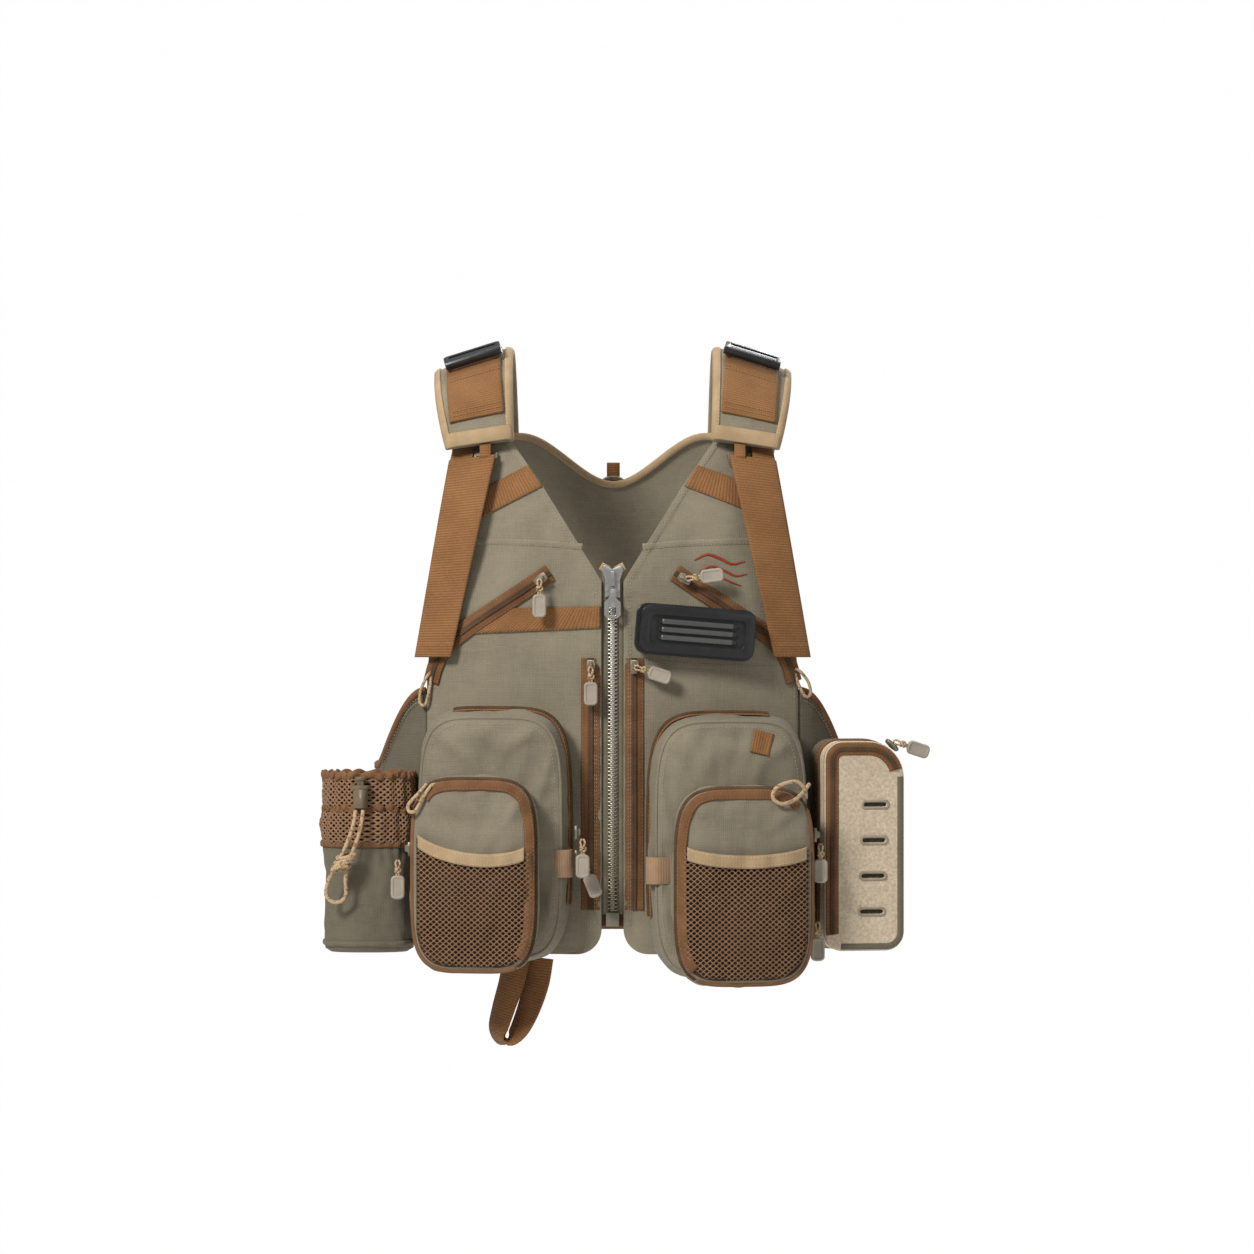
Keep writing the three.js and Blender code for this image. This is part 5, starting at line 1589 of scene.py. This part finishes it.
def side_wing(name, side):
    u, v = np.meshgrid(np.linspace(0, 1, 84), np.linspace(0, 1, 64))
    limit = flank_angle(WING_EDGE, WING_THICK)
    angle = mix(-limit, limit, u)
    z = mix(wing_top(u), WING_BOTTOM, v)
    smooth_face = on_flank(side, angle, z, WING_THICK)
    edge = np.minimum(np.minimum(u, 1 - u) * 12, 1) * np.minimum((1 - v) * 8 + 0.2, 1)
    relief = wing_relief(smooth_face, v) * edge
    hem = 0.6 * (1 - smoothstep(v * (z * 0 + 150), 5, 7))
    soup = shell(
        on_flank(side, angle, z, WING_THICK - 0.8 + relief + hem), on_flank(side, angle, z, 0.3 * relief),
    )
    obj = piece(soup, f"wing_{name}", dark_canvas, f"side_wing_{name}")
    t = np.linspace(0.01, 0.99, 110)
    angle = mix(-limit, limit, t)
    line = on_flank(side, angle, wing_top(t) + 0.5, 1.8)
    normal = np.stack([0 * t, 0 * t, 1 + 0 * t], -1)
    soup = swept(line, normal, [(-3.0, -4.0), (3.0, -4.0), (3.2, 0.2), (1.8, 1.5), (-1.8, 1.5), (-3.2, 0.2)])
    piece(soup, f"wing_{name}_binding", brown_piping)
    for drop in (6.0, 9.0):
        line = on_flank(side, angle, wing_top(t) - drop, WING_THICK + 0.3)
        out = on_flank(side, angle, wing_top(t) - drop, WING_THICK + 1.3) - line
        stitch_run(THREADS["olive"], line, unit(out), *POCKET_STITCH, 0, 0)


for side_name, side in SIDES:
    side_wing(side_name, side)

# ------------------------------------------------------------------ bottle pocket

BOTTLE_X, BOTTLE_Y, BOTTLE_HALF_W, BOTTLE_HALF_D, BOTTLE_SQUARE = -195.8, -105.4, 36.0, 30.0, 2.6
BOTTLE_BOTTOM = -486.0


def on_bottle(a, z, d):
    """Round the bottle pocket: a is the angle from the wearer's left, z the height, d how far out."""
    a, z, d = grids(a, z, d)
    c, s = np.cos(a), np.sin(a)
    power = 2 / BOTTLE_SQUARE
    x = BOTTLE_X + (BOTTLE_HALF_W + d) * np.sign(c) * np.abs(c) ** power
    y = BOTTLE_Y + (BOTTLE_HALF_D + d) * np.sign(s) * np.abs(s) ** power
    return np.stack([x, y, z], -1)


def bottle_relief(a, z):
    a, z = grids(a, z)
    flat = np.stack([40 * np.cos(a), 40 * np.sin(a), z], -1)
    sag = np.sin(a * 7 + 1.2 * np.sin(z / 26)) * np.exp(-((z + 470) / 36) ** 2)
    gather = np.sin(a * 26 + np.sin(z / 11)) * np.exp(-((z + 404) / 13) ** 2)
    return 0.9 * ripple(flat, 46, 83) + 0.9 * sag + 0.45 * gather


around = np.linspace(0, TAU, 145)[:-1]
levels = [
    (BOTTLE_BOTTOM + 2.0, -14), (BOTTLE_BOTTOM, -9), (BOTTLE_BOTTOM, -4), (BOTTLE_BOTTOM + 2, -1),
    (BOTTLE_BOTTOM + 6, 0),
]
levels += [(z, 0.0) for z in np.linspace(-475, -402, 26)] + [(-399, -0.6), (-398, -2.4), (-400, -3.2)]
levels += [(z, -3.4) for z in np.linspace(-410, -478, 12)]
rings = np.array(
    [on_bottle(around, z, d - 0.8 + (bottle_relief(around, z) if d > -3 else 0)) for z, d in levels]
)
soup = Soup()
ring_faces(soup, rings, cap_start=True, cap_end=True)
obj = piece(soup, "bottle_cup", dark_canvas, "bottle_pocket")

TIERS = ((-399.5, -371.0, 2.4, 3), (-370.5, -344.5, 1.2, 5))
girth = 2 * math.pi * 34.0
for number, (low_z, high_z, puff, seed) in enumerate(TIERS):

    def tier_lift(a, z, low_z=low_z, high_z=high_z, puff=puff, seed=seed):
        a, z = grids(a, z)
        t = np.clip((z - low_z) / (high_z - low_z), 0, 1)
        flat = np.stack([40 * np.cos(a), 40 * np.sin(a), z], -1)
        pleat = 0.7 * np.sin(a * 19 + seed) * (1 - (2 * t - 1) ** 2 * 0.4)
        return puff * np.sin(math.pi * t) ** 0.7 + pleat + 0.6 * ripple(flat, 30, 90 + seed)

    def place_net(s, z, h):
        return on_bottle(s / girth * TAU, z, tier_lift(s / girth * TAU, z) + h)

    pitch = girth / 44
    verts, faces = lattice(
        place_net, 0, girth - 1.5 * pitch, low_z + 2, high_z, pitch, 2.15, lambda x, z: (z < high_z - 1.5),
        0.72, 0.45,
    )
    obj = net_object(f"bottle_net_{number + 1}", verts, faces, net, 0.6, flip=True)
    put(obj, "root", ())
    # a dark sleeve behind the tier's net: painted shade inside the bottle pocket
    soup = Soup()
    zs = np.concatenate([np.linspace(low_z, high_z, 12), np.linspace(high_z, low_z, 12)])
    depth = np.concatenate([np.full(12, -1.4), np.full(12, -2.2)])
    rings = np.array([on_bottle(around, z, tier_lift(around, z) + d) for z, d in zip(zs, depth)])
    count = rings.shape[1]
    faces = grid_faces(count, 24, wrap_u=True).tolist()
    faces += [(k, (k + 1) % count, 23 * count + (k + 1) % count, 23 * count + k) for k in range(count)]
    soup.add(rings, faces)
    piece(soup, f"bottle_inside_{number + 1}", painted_shade_sheet)
    # the gathered binding along the tier's upper edge
    soup = Soup()
    fine = np.linspace(0, TAU, 361)[:-1]
    ruffle = tier_lift(
        fine, np.full(360, high_z),
    ) + 0.5 + 0.9 * np.sin(fine * 31) + 0.5 * np.sin(fine * 17 + 1)
    line = on_bottle(fine, high_z + 1.4 * np.sin(fine * 23 + seed) * 0.8, ruffle)
    out = on_bottle(fine, 0, 1.0) - on_bottle(fine, 0, 0.0)
    sweep(soup, line, out, round_profile(3.0, 1.1, 8), closed=True)
    piece(soup, f"bottle_ruffle_{number + 1}", brown_piping)

soup = Soup()
fine = np.linspace(0, TAU, 181)[:-1]
out = on_bottle(fine, 0, 1.0) - on_bottle(fine, 0, 0.0)
sweep(
    soup, on_bottle(fine, -399.5, bottle_relief(fine, -402.0) + 0.2), out, round_profile(2.6, 1.0, 8),
    closed=True,
)
piece(soup, "bottle_tape", brown_piping)
soup = swept(
    on_bottle(fine, -479.0, bottle_relief(fine, -479.0) - 0.6), out, round_profile(2.4, 1.5, 8), closed=True,
)
piece(soup, "bottle_hem", dark_canvas)

# ------------------------------------------------------------------ the bottle pocket's drawcord

CORD_FRONT, CORD_DIAMETER = -150.2, 3.2
CORD_ROUTE = [
    (-204.5, -371.5, 3), (-206.5, -384, 1), (-211, -397, 0.5), (-215.8, -408, 0.8), (-221.2, -418, 2),
    (-226.4, -428, 3.4), (-228.2, -437, 4.6), (
        -227.6, -440.1, 4.6,
    ), (-225.9, -442.7, 4.6), (-223.3, -444.4, 4.6),
    (-220.2, -445, 4.6), (
        -217.1, -444.4, 4.6,
    ), (-214.5, -442.7, 4.6), (-212.8, -440.1, 4.6), (-212.2, -437, 4.6),
    (-212.6, -428, 3.4), (-211.6, -417.5, 1.8), (-207.8, -407, 0.6), (-203.6, -396, 0.4), (-200.2, -384, 1),
    (-198.6, -371.5, 3),
]
route = np.array([(x, CORD_FRONT + inward, z) for x, z, inward in CORD_ROUTE])
route = curve_through(route, 1.5)
soup = Soup()
tube(soup, route, CORD_DIAMETER / 2, 12)
drawcord = piece(soup, "bottle_cord", braid, "bottle_drawcord")
soup = Soup()
for wrap in range(4):
    a = np.linspace(0, TAU, 28, endpoint=False)
    z = -408.0 - 3.2 * wrap
    swell = 1 + 0.12 * math.sin(math.pi * (wrap + 0.5) / 4)
    x = -212.0 + 0.45 * (z + 408) + 6.5 * swell * np.cos(a)
    y = CORD_FRONT + 1.4 + 4.0 * swell * np.sin(a)
    ring = np.stack([x, y, z + 1.1 * np.sin(a + wrap) + 1.6 * np.cos(a)], -1)
    tube(soup, ring, 1.75, 9, closed=True)
knot = piece(soup, "bottle_cord_knot", braid)

# ------------------------------------------------------------------ fly case


def softened(node, body, material, voxel, rounds, name):
    """A copy of a moulded or sewn CAD shell, remeshed and smoothed so that its corners are round."""
    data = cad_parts[node].data.copy()
    obj = bpy.data.objects.new(name, data)
    scene.collection.objects.link(obj)
    data.materials.clear()
    data.materials.append(material)
    remesh = obj.modifiers.new("remesh", "REMESH")
    remesh.mode = "VOXEL"
    remesh.voxel_size = voxel * MM
    remesh.use_smooth_shade = True
    smooth = obj.modifiers.new("smooth", "SMOOTH")
    smooth.factor = 0.5
    smooth.iterations = rounds
    apply_modifiers(obj)
    return put(obj, body, node)


CASE_TURN = math.radians(12)
CASE_ORIGIN = np.array((197.47, -101.83, -401.0))
CASE_X = np.array((math.cos(CASE_TURN), math.sin(CASE_TURN), 0))
CASE_Y = np.array((-math.sin(CASE_TURN), math.cos(CASE_TURN), 0))
CASE_W, CASE_H, CASE_CORNER = 66.0, 168.0, 15.0


def on_case(x, y, z):
    x, y, z = grids(x, y, z)
    return CASE_ORIGIN + x[..., None] * CASE_X + y[..., None] * CASE_Y + z[..., None] * np.array((0, 0, 1.0))


def case_outline(inset, spacing=1.5):
    """The case's outline seen from the front: small corners, and a large one at the top outer corner."""
    w, h = CASE_W / 2 - inset, CASE_H / 2 - inset
    small, large = CASE_CORNER - inset, 2 * CASE_CORNER - inset
    points = []
    for cx, cz, r, start in ((w - small, -h + small, small, -90), (w - large, h - large, large, 0),
                             (-w + small, h - small, small, 90), (-w + small, -h + small, small, 180)):
        for a in np.radians(start + np.linspace(0, 90, 10)):
            points.append((cx + r * math.cos(a), cz + r * math.sin(a)))
    return resample(np.array(points), spacing, closed=True)


softened("fly_case_door", "fly_case_door", felt, 1.1, 9, "fly_case_shell")
softened("fly_case_tray", "root", dark_canvas, 1.6, 5, "fly_case_back")
softened("fly_case_foam", "root", foam, 1.6, 2, "fly_case_insert")


def run_of(flat, chosen):
    """The chosen stretch of a closed line, from its start to its end."""
    order = np.roll(np.arange(len(flat)), -int(np.argmax(chosen & ~np.roll(chosen, 1))))
    return flat[order][chosen[order]]


def case_strip(soup, flat, y, profile):
    flat = np.asarray(flat)
    points = on_case(flat[:, 0], y, flat[:, 1])
    along = tangents(flat)
    out = np.stack([along[:, 1], -along[:, 0]], -1)
    normals = out[:, :1] * CASE_X + out[:, 1:] * np.array((0, 0, 1.0))
    sweep(soup, points, normals, profile)
    return points, normals


outline = case_outline(0.0)
outline = run_of(outline, outline[:, 1] > -CASE_H / 2 + 11)  # the foot is the door's cloth hinge
for name, y, body, soup_material, width in (
    ("door", -3.6, "fly_case_door", zip_tape, 5.6), ("tray", 3.6, "root", zip_tape, 5.6),
):
    soup = Soup()
    points, normals = case_strip(soup, outline, y, band_profile(width, 1.3, 0.4))
    piece(soup, f"fly_case_{name}_tape", soup_material, body=body)
    thread = Soup()
    stitch_run(thread, points, normals, *ZIP_STITCH, 1.8 if name == "door" else -1.8, 1.3)
    piece(thread, f"fly_case_{name}_stitches", stitch_brown, body=body)
    coil = Soup()
    y_coil = -0.8 if name == "door" else 0.8
    points, normals = case_strip(Soup(), outline, y_coil, band_profile(1, 1))
    coil_on(coil, points, normals, 2.0, 1.7, 0.1)
    piece(coil, f"fly_case_{name}_coil", zip_coil, body=body)

# the brown band and coil over the top and down the inner side of the case's front
flat = case_outline(6.2)
chosen = (
    flat[:, 0] < -CASE_W / 2 + 12
) & (flat[:, 1] > -CASE_H / 2 + 12) | (flat[:, 1] > CASE_H / 2 - 26) & (flat[:, 0] < 26)
flat = run_of(flat, chosen)
points = on_case(flat[:, 0], -21.5, flat[:, 1])
normals = np.tile(-CASE_Y, (len(points), 1))
for name, colour in (("tape", zip_tape), ("coil", zip_coil), ("stitches", stitch_brown)):
    soup = Soup()
    if name == "tape":
        sweep(soup, points, normals, band_profile(10.5, 1.3, 0.5))
    elif name == "coil":
        coil_on(soup, points, normals, 3.6, 1.5, 1.2)
    else:
        for offset in (-4.0, 4.0):
            stitch_run(soup, points, normals, *ZIP_STITCH, offset, 1.3)
    piece(soup, f"fly_case_front_{name}", colour, body="fly_case_door")

# an olive strip down the outer side of the front and along its foot
flat = case_outline(3.4)
chosen = (flat[:, 0] > CASE_W / 2 - 12) & (flat[:, 1] < CASE_H / 2 - 28) | (
    flat[:, 1] < -CASE_H / 2 + 12
) & (flat[:, 0] > -20)
flat = run_of(flat, chosen)
points = on_case(flat[:, 0], -21.2, flat[:, 1])
soup = swept(points, np.tile(-CASE_Y, (len(points), 1)), band_profile(5.0, 1.3, 0.5))
piece(soup, "fly_case_front_edge", dark_canvas, body="fly_case_door")

# piping round the shell's front edge and along the tray's back
for name, inset, y, radius, body, colour in (
    ("front", 1.2, -19.3, 1.4, "fly_case_door", brown_piping), ("back", 0.6, 22.6, 1.5, "root", dark_canvas),
):
    soup = Soup()
    flat = case_outline(inset)
    tube(soup, on_case(flat[:, 0], y, flat[:, 1]), radius, 8, closed=True)
    piece(soup, f"fly_case_{name}_piping", colour, body=body)

# moulded lips round the four slits, in a darkened copy of the felt's colour: painted shade at the slits'
# edges
slit_lip_shade = moulded_material("slit_lip_shade", (0.310, 0.258, 0.185), 0.8)
slit_painted_shade = moulded_material("slit_painted_shade", (0.05, 0.047, 0.036), 0.7)
for row in range(4):
    z = CASE_H / 2 - 31 - 20 - row * 28.6
    loop = rounded_loop(21.5, 5.6, 2.7, 5)
    soup = Soup()
    ring = on_case(9 - row + loop[:, 0], -22.05, z + loop[:, 1])
    tube(soup, curve_through(ring, 0.9, closed=True), 0.95, 7, closed=True)
    piece(soup, f"fly_case_slit_{row + 1}", slit_lip_shade, body="fly_case_door")
    # a dark sheet inside the slit: painted shade
    x, z_grid = np.meshgrid(np.linspace(-9.4, 9.4, 16), np.linspace(-1.9, 1.9, 5))
    soup = shell(
        on_case(9 - row + x, -20.0 + 0.3 * np.sin(x), z + z_grid), on_case(9 - row + x, -19.2, z + z_grid),
    )
    piece(soup, f"fly_case_slit_{row + 1}_inside", slit_painted_shade, body="fly_case_door")

# the case's zip slider, fixed to the tray
soup = Soup()
middle = on_case(25.0 + 5.0, 5.0, 77.0 + 3.0)
a = np.linspace(0, TAU, 12, endpoint=False)
profile_points = [(-6.5, 2.0, 1.0), (-5.5, 3.6, 2.2), (0, 4.2, 2.8), (5.5, 3.0, 2.0), (6.5, 1.6, 0.8)]
along = CASE_X * 0.72 - np.array((0, 0, 1.0)) * 0.69
out = CASE_X * 0.69 + np.array((0, 0, 1.0)) * 0.72
rings = np.array(
    [[middle + along * step + CASE_Y * w * math.cos(t) + out * h * math.sin(t) for t in a]
     for step, w, h in profile_points]
)
ring_faces(soup, rings, True, True)
piece(soup, "fly_case_slider", dark_metal)

# ------------------------------------------------------------------ rod loop

ROD_TOP, ROD_DROP = -491.0, 66.0
ROD_LINE = [
    (-77, 0), (-81, 0.3), (-87.5, 0.62), (-91, 0.86), (-85.5, 1), (-76.5, 0.9), (-68.5, 0.66), (-61.5, 0.32),
    (-58.5, 0),
]
rod = []
for x, share in ROD_LINE:
    z = ROD_TOP - share * ROD_DROP
    rod.append(on_front(x, z, 0) - (0, 6 * share, 0))
rod = curve_through(np.array(rod), 1.5)
wide = np.array((0.5, -0.86, 0.0))
tangent = tangents(rod)
# both legs are turned to face the front near their tops, and the loop twists between them
share = np.linspace(0, 1, len(rod))
legs = np.abs(2 * share - 1) ** 0.7
across = np.array([Vector(mix(wide, np.array((0.9, -0.43, 0)), leg)).normalized() for leg in legs])
normals = np.cross(across, tangent)
soup = swept(rod, normals, [(-12, -0.9), (12, -0.9), (12, 0.5), (11, 0.9), (-11, 0.9), (-12, 0.5)])
piece(soup, "rod_loop_webbing", webbing, "rod_loop", body="rod_loop")

# ------------------------------------------------------------------ back: yoke, net panel and pocket


def yoke_top(x):
    return -64 - 40 * (1 - smoothstep(np.abs(x), 0, 78))


def back_half(z):
    return mix(130.0, 150.0, smoothstep(-np.asarray(z, float), 140, 300))


u, v = np.meshgrid(np.linspace(-1, 1, 100), np.linspace(0, 1, 56))
z = mix(yoke_top(u * back_half(-64)), -204.4, v)
x = u * back_half(z)
relief = 0.7 * ripple(np.stack([x, z, 0 * x], -1), 80, 101) + 0.6 * (v < 0.03)
soup = shell(on_back(x, z, 3.4 + relief), on_back(x, z, 0.2 + 0.3 * relief))
obj = piece(soup, "yoke", canvas, "back_yoke")
t = np.linspace(-1, 1, 160)
top_x = t * back_half(-64)
line = on_back(top_x, yoke_top(top_x) + 0.3, 2.0)
soup = swept(
    line, np.tile((0, 0, 1.0), (160, 1)),
    [(-3.2, -4.4), (3.2, -4.4), (3.4, 0.2), (1.9, 1.6), (-1.9, 1.6), (-3.4, 0.2)],
)
piece(soup, "yoke_binding", beige_binding)
for drop in (6, 9):
    sew("olive", on_back, np.stack([top_x, yoke_top(top_x) - drop], -1), 4.2, *POCKET_STITCH, 0, 0.2)


def back_inside(x, z):
    return (np.abs(x) < back_half(z) - 2.5) & (z < -208) & (z > -477.5)


def back_place(x, z, h):
    return on_back(x, z, 3.4 + 0.7 * ripple(np.stack([x, z, 0 * x], -1), 90, 103) + h)


verts, faces = lattice(back_place, -151, 151, -479, -206, 5.8, 2.5, back_inside, 0.68, 0.5)
obj = net_object("back_net", verts, faces, net, 0.7)
put(obj, "root", "back_mesh_panel")
# a dark sheet behind the back net: painted shade
u, v = np.meshgrid(np.linspace(-1, 1, 60), np.linspace(0, 1, 50))
z = mix(-206.0, -479.4, v)
x = u * (back_half(z) - 0.4)
piece(shell(on_back(x, z, 1.4 + 0 * x), on_back(x, z, 0.5 + 0 * x)), "back_net_painted_shade", painted_shade_sheet)
for flat, width in (
    (np.array([(-147, -478), (147, -478)]), 9), (np.array([(-133, -205), (133, -205)]), 9),
    (np.array([(-132, -206), (-138, -240), (-146, -290), (-147.5, -330), (-147.5, -478)]), 8),
    (np.array([(132, -206), (138, -240), (146, -290), (147.5, -330), (147.5, -478)]), 8),
):
    sewn_strip(
        "piping", "brown", on_back, resample(flat, 3.0), 2.6, band_profile(width, 1.9, 0.6),
        TAPE_STITCH, (-width / 2 + 1.4, width / 2 - 1.4), 1.95,
    )

BACK_POCKET = (0.0, -370.0, 118.0, 85.0)


class BackPocket(Pocket):
    """The same gusseted pocket, laid on the back."""

    def crown(self, x, z, d=0.0):
        rho = np.clip(self.share(np.asarray(x, float), np.asarray(z, float)), 0, 1)
        height = self.rim + (1 - self.rim) * (1 - rho**7) ** 0.5
        soft = self.relief(x, z) * smoothstep(1 - rho, 0.0, 0.12)
        return on_back(x, z, self.foot + self.depth * height + soft + 1.2 * (1 - rho**2) - 1.4 + d)

    def build(self, material, node, fill=0.4):
        count = 200
        base, face = self.outline(self.base, count), self.outline(self.face, count)
        rings = []
        for t in np.linspace(0, 1, 12):
            flat = mix(base, face, t)
            rings.append(on_back(flat[:, 0], flat[:, 1], self.foot + self.depth * self.rim * t))
        self.close(rings, face, material, node, fill)


pocket_back = BackPocket("back_pocket", *BACK_POCKET, 5.8, 26.0, 5.0, 1, 0, 4, 113)
pocket_back.folds = [
    (-100, -310, -60, -330, 7, 2.4), (96, -316, 60, -340, 7, 2.2), (-90, -430, -40, -440, 8, -2),
    (20, -380, 80, -400, 9, 1.8),
]
pocket_back.build(pocket_canvas, "back_pocket")
p, n = surface_line(pocket_back.crown, pocket_back.rim_line(-0.6), 0.0)
tube(STRIPS.setdefault("pocket_seam", Soup()), p, 1.35, 8, closed=True)
sew("olive", pocket_back.crown, pocket_back.rim_line(-5.0), 0.0, *POCKET_STITCH, 0, 0.15, closed=True)
zip_on(pocket_back.crown, np.array([(-98, -306), (98, -306)]), 0.4, 15.0, 4.6, 1.7)

# the webbing loop that holds the net ring
low, high = box_mm("back_net_ring")
ring_z = high[2] - 2
path = [
    (0, high[1] - 6.0, ring_z + 13), (0, high[1] - 3.2, ring_z + 5), (0, high[1] - 1.2, ring_z - 0.5),
    (0, high[1] - 3.5, ring_z - 5.0), (0, high[1] - 7.0, ring_z - 2.0), (0, high[1] - 8.0, ring_z + 12),
]
webbing_loop("net_ring_loop", path, 11)

# ------------------------------------------------------------------ loops, tabs, tag and embroidery


def cord_loop(name, points, radius):
    soup = Soup()
    tube(soup, curve_through(np.array(points, float), 1.0), radius, 9)
    piece(soup, name, braid)


# radius, and points as (x, z, distance from the body)
CORD_LOOPS = {
    "front_right_loop": (1.5, [
        (-147, -350, 74), (-152, -356, 79), (-158, -362, 80), (-161.5, -367, 80), (-160.5, -371.5, 80),
        (-156, -371, 80), (-151, -363, 80), (-144, -352, 78), (-140, -350, 73),
    ]),
    "front_left_loop": (1.6, [
        (153, -361, 76), (152, -354, 80), (146, -348, 81), (136, -349, 82), (128, -354, 82), (127, -361, 82),
        (134, -365, 82), (144, -362, 81), (151, -356, 78), (156, -350, 74),
    ]),
    "side_loop_right": (1.3, [
        (-146, -262, 5), (-150, -266, 7), (-155, -277, 8), (-155.5, -287, 8), (-151, -288, 8),
        (-148, -277, 7), (-146, -265, 5),
    ]),
    "side_loop_left": (1.3, [
        (147, -259, 5), (152, -262, 7), (158, -270, 8), (160, -279, 8), (156, -282, 8), (151, -274, 7),
        (147, -263, 5),
    ]),
}
for name, (radius, points) in CORD_LOOPS.items():
    cord_loop(name, [on_front(*point) for point in points], radius)


def side_tab(name, pocket_, direction, z_top, z_bottom):
    """A folded tab of ribbed elastic on a cargo pocket's inner side."""
    x_wall = pocket_.base[0] + direction * (pocket_.face[2] - 2.5)
    middle = (z_top + z_bottom) / 2
    out = [(-7, 1.0), (0, 3.0), (7, 4.2), (12.5, 1.0), (14.5, -5), (12.5, -11.5), (6, -13.5)]
    line = [
        on_front(x_wall + direction * (dx - 8), middle, pocket_.foot + pocket_.depth * 0.84 + dy)
        for dx, dy in out
    ]
    line = curve_through(np.array(line), 0.9)
    soup = Soup()
    normal = np.cross(tangents(line), (0, 0, 1.0)) * direction
    half = (z_top - z_bottom) / 2
    sweep(
        soup, line, normal,
        [(-half, -0.7), (half, -0.7), (half, 0.5), (half - 0.6, 0.8), (-half + 0.6, 0.8), (-half, 0.5)],
    )
    piece(soup, name, elastic)


side_tab("cargo_right_tab", cargo["right"], 1, -402.5, -424.5)
side_tab("cargo_left_tab", cargo["left"], -1, -408.5, -430.0)

# the plain brown tag on the left cargo pocket
tag_middle, tag_turn = np.array((118.6, -317.5)), math.radians(-13)
turn2 = np.array([[math.cos(tag_turn), -math.sin(tag_turn)], [math.sin(tag_turn), math.cos(tag_turn)]])
corners = [tuple(tag_middle + turn2 @ np.array(c)) for c in ((-8, 9), (8, 9), (7.4, -9), (-7.4, -9))]
left_face = cargo["left"]
soup = patch(corners, left_face.crown, 0.2, 1.6, 1.0)
piece(soup, "tag", webbing)
tag_line = np.array([corners[0], corners[1]]) + (0, -1.6)
sew("brown", left_face.crown, resample(tag_line, 1.0), 1.6, 2.2, 1.6, 0.26, 0, 0.1)

# a plain rust-coloured motif in satin stitch: three wavy lines
soup = Soup()
MOTIF = [
    ([(66, -172), (76, -167.5), (86, -170.5), (96, -175), (106, -173)], 1.5),
    ([(70, -181), (80, -177), (90, -180.5), (99, -184.5), (108, -183)], 1.3),
    ([(78, -190), (87, -186.5), (95, -189.5), (103, -192.5)], 1.1),
]
for path, half in MOTIF:
    line = resample(curve_through(np.array(path, float), 0.8), 0.62)
    p, n = surface_line(chest, line, PANEL_THICK + 0.1)
    t = tangents(p)
    side_vector = np.cross(t, n)
    share = np.linspace(0, 1, len(p))
    for centre, s_dir, up, forward, k in zip(p, side_vector, n, t, share):
        reach = half * (0.35 + 0.65 * math.sin(math.pi * k) ** 0.6)
        a = np.linspace(-1, 1, 5)
        strand = centre + np.outer(a * reach, s_dir * 0.8 + forward * 0.35) + np.outer(0.45 * (1 - a**2), up)
        sweep(soup, strand, np.tile(up, (5, 1)), round_profile(0.27, 0.22, 5))
piece(soup, "chest_motif", embroidery)

# ------------------------------------------------------------------ trims that were gathered along the way

STRIP_MATERIALS = {
    "tape": zip_tape, "coil": zip_coil, "piping": brown_piping,
    "olive_seam": canvas, "pocket_seam": pocket_canvas,
}
for key, thread in (("olive", stitch_olive), ("brown", stitch_brown), ("beige", stitch_beige)):
    piece(THREADS[key], f"stitches_{key}", thread)
for key, soup in STRIPS.items():
    piece(soup, f"trim_{key}", STRIP_MATERIALS[key])

scene.view_settings.view_transform = "Standard"

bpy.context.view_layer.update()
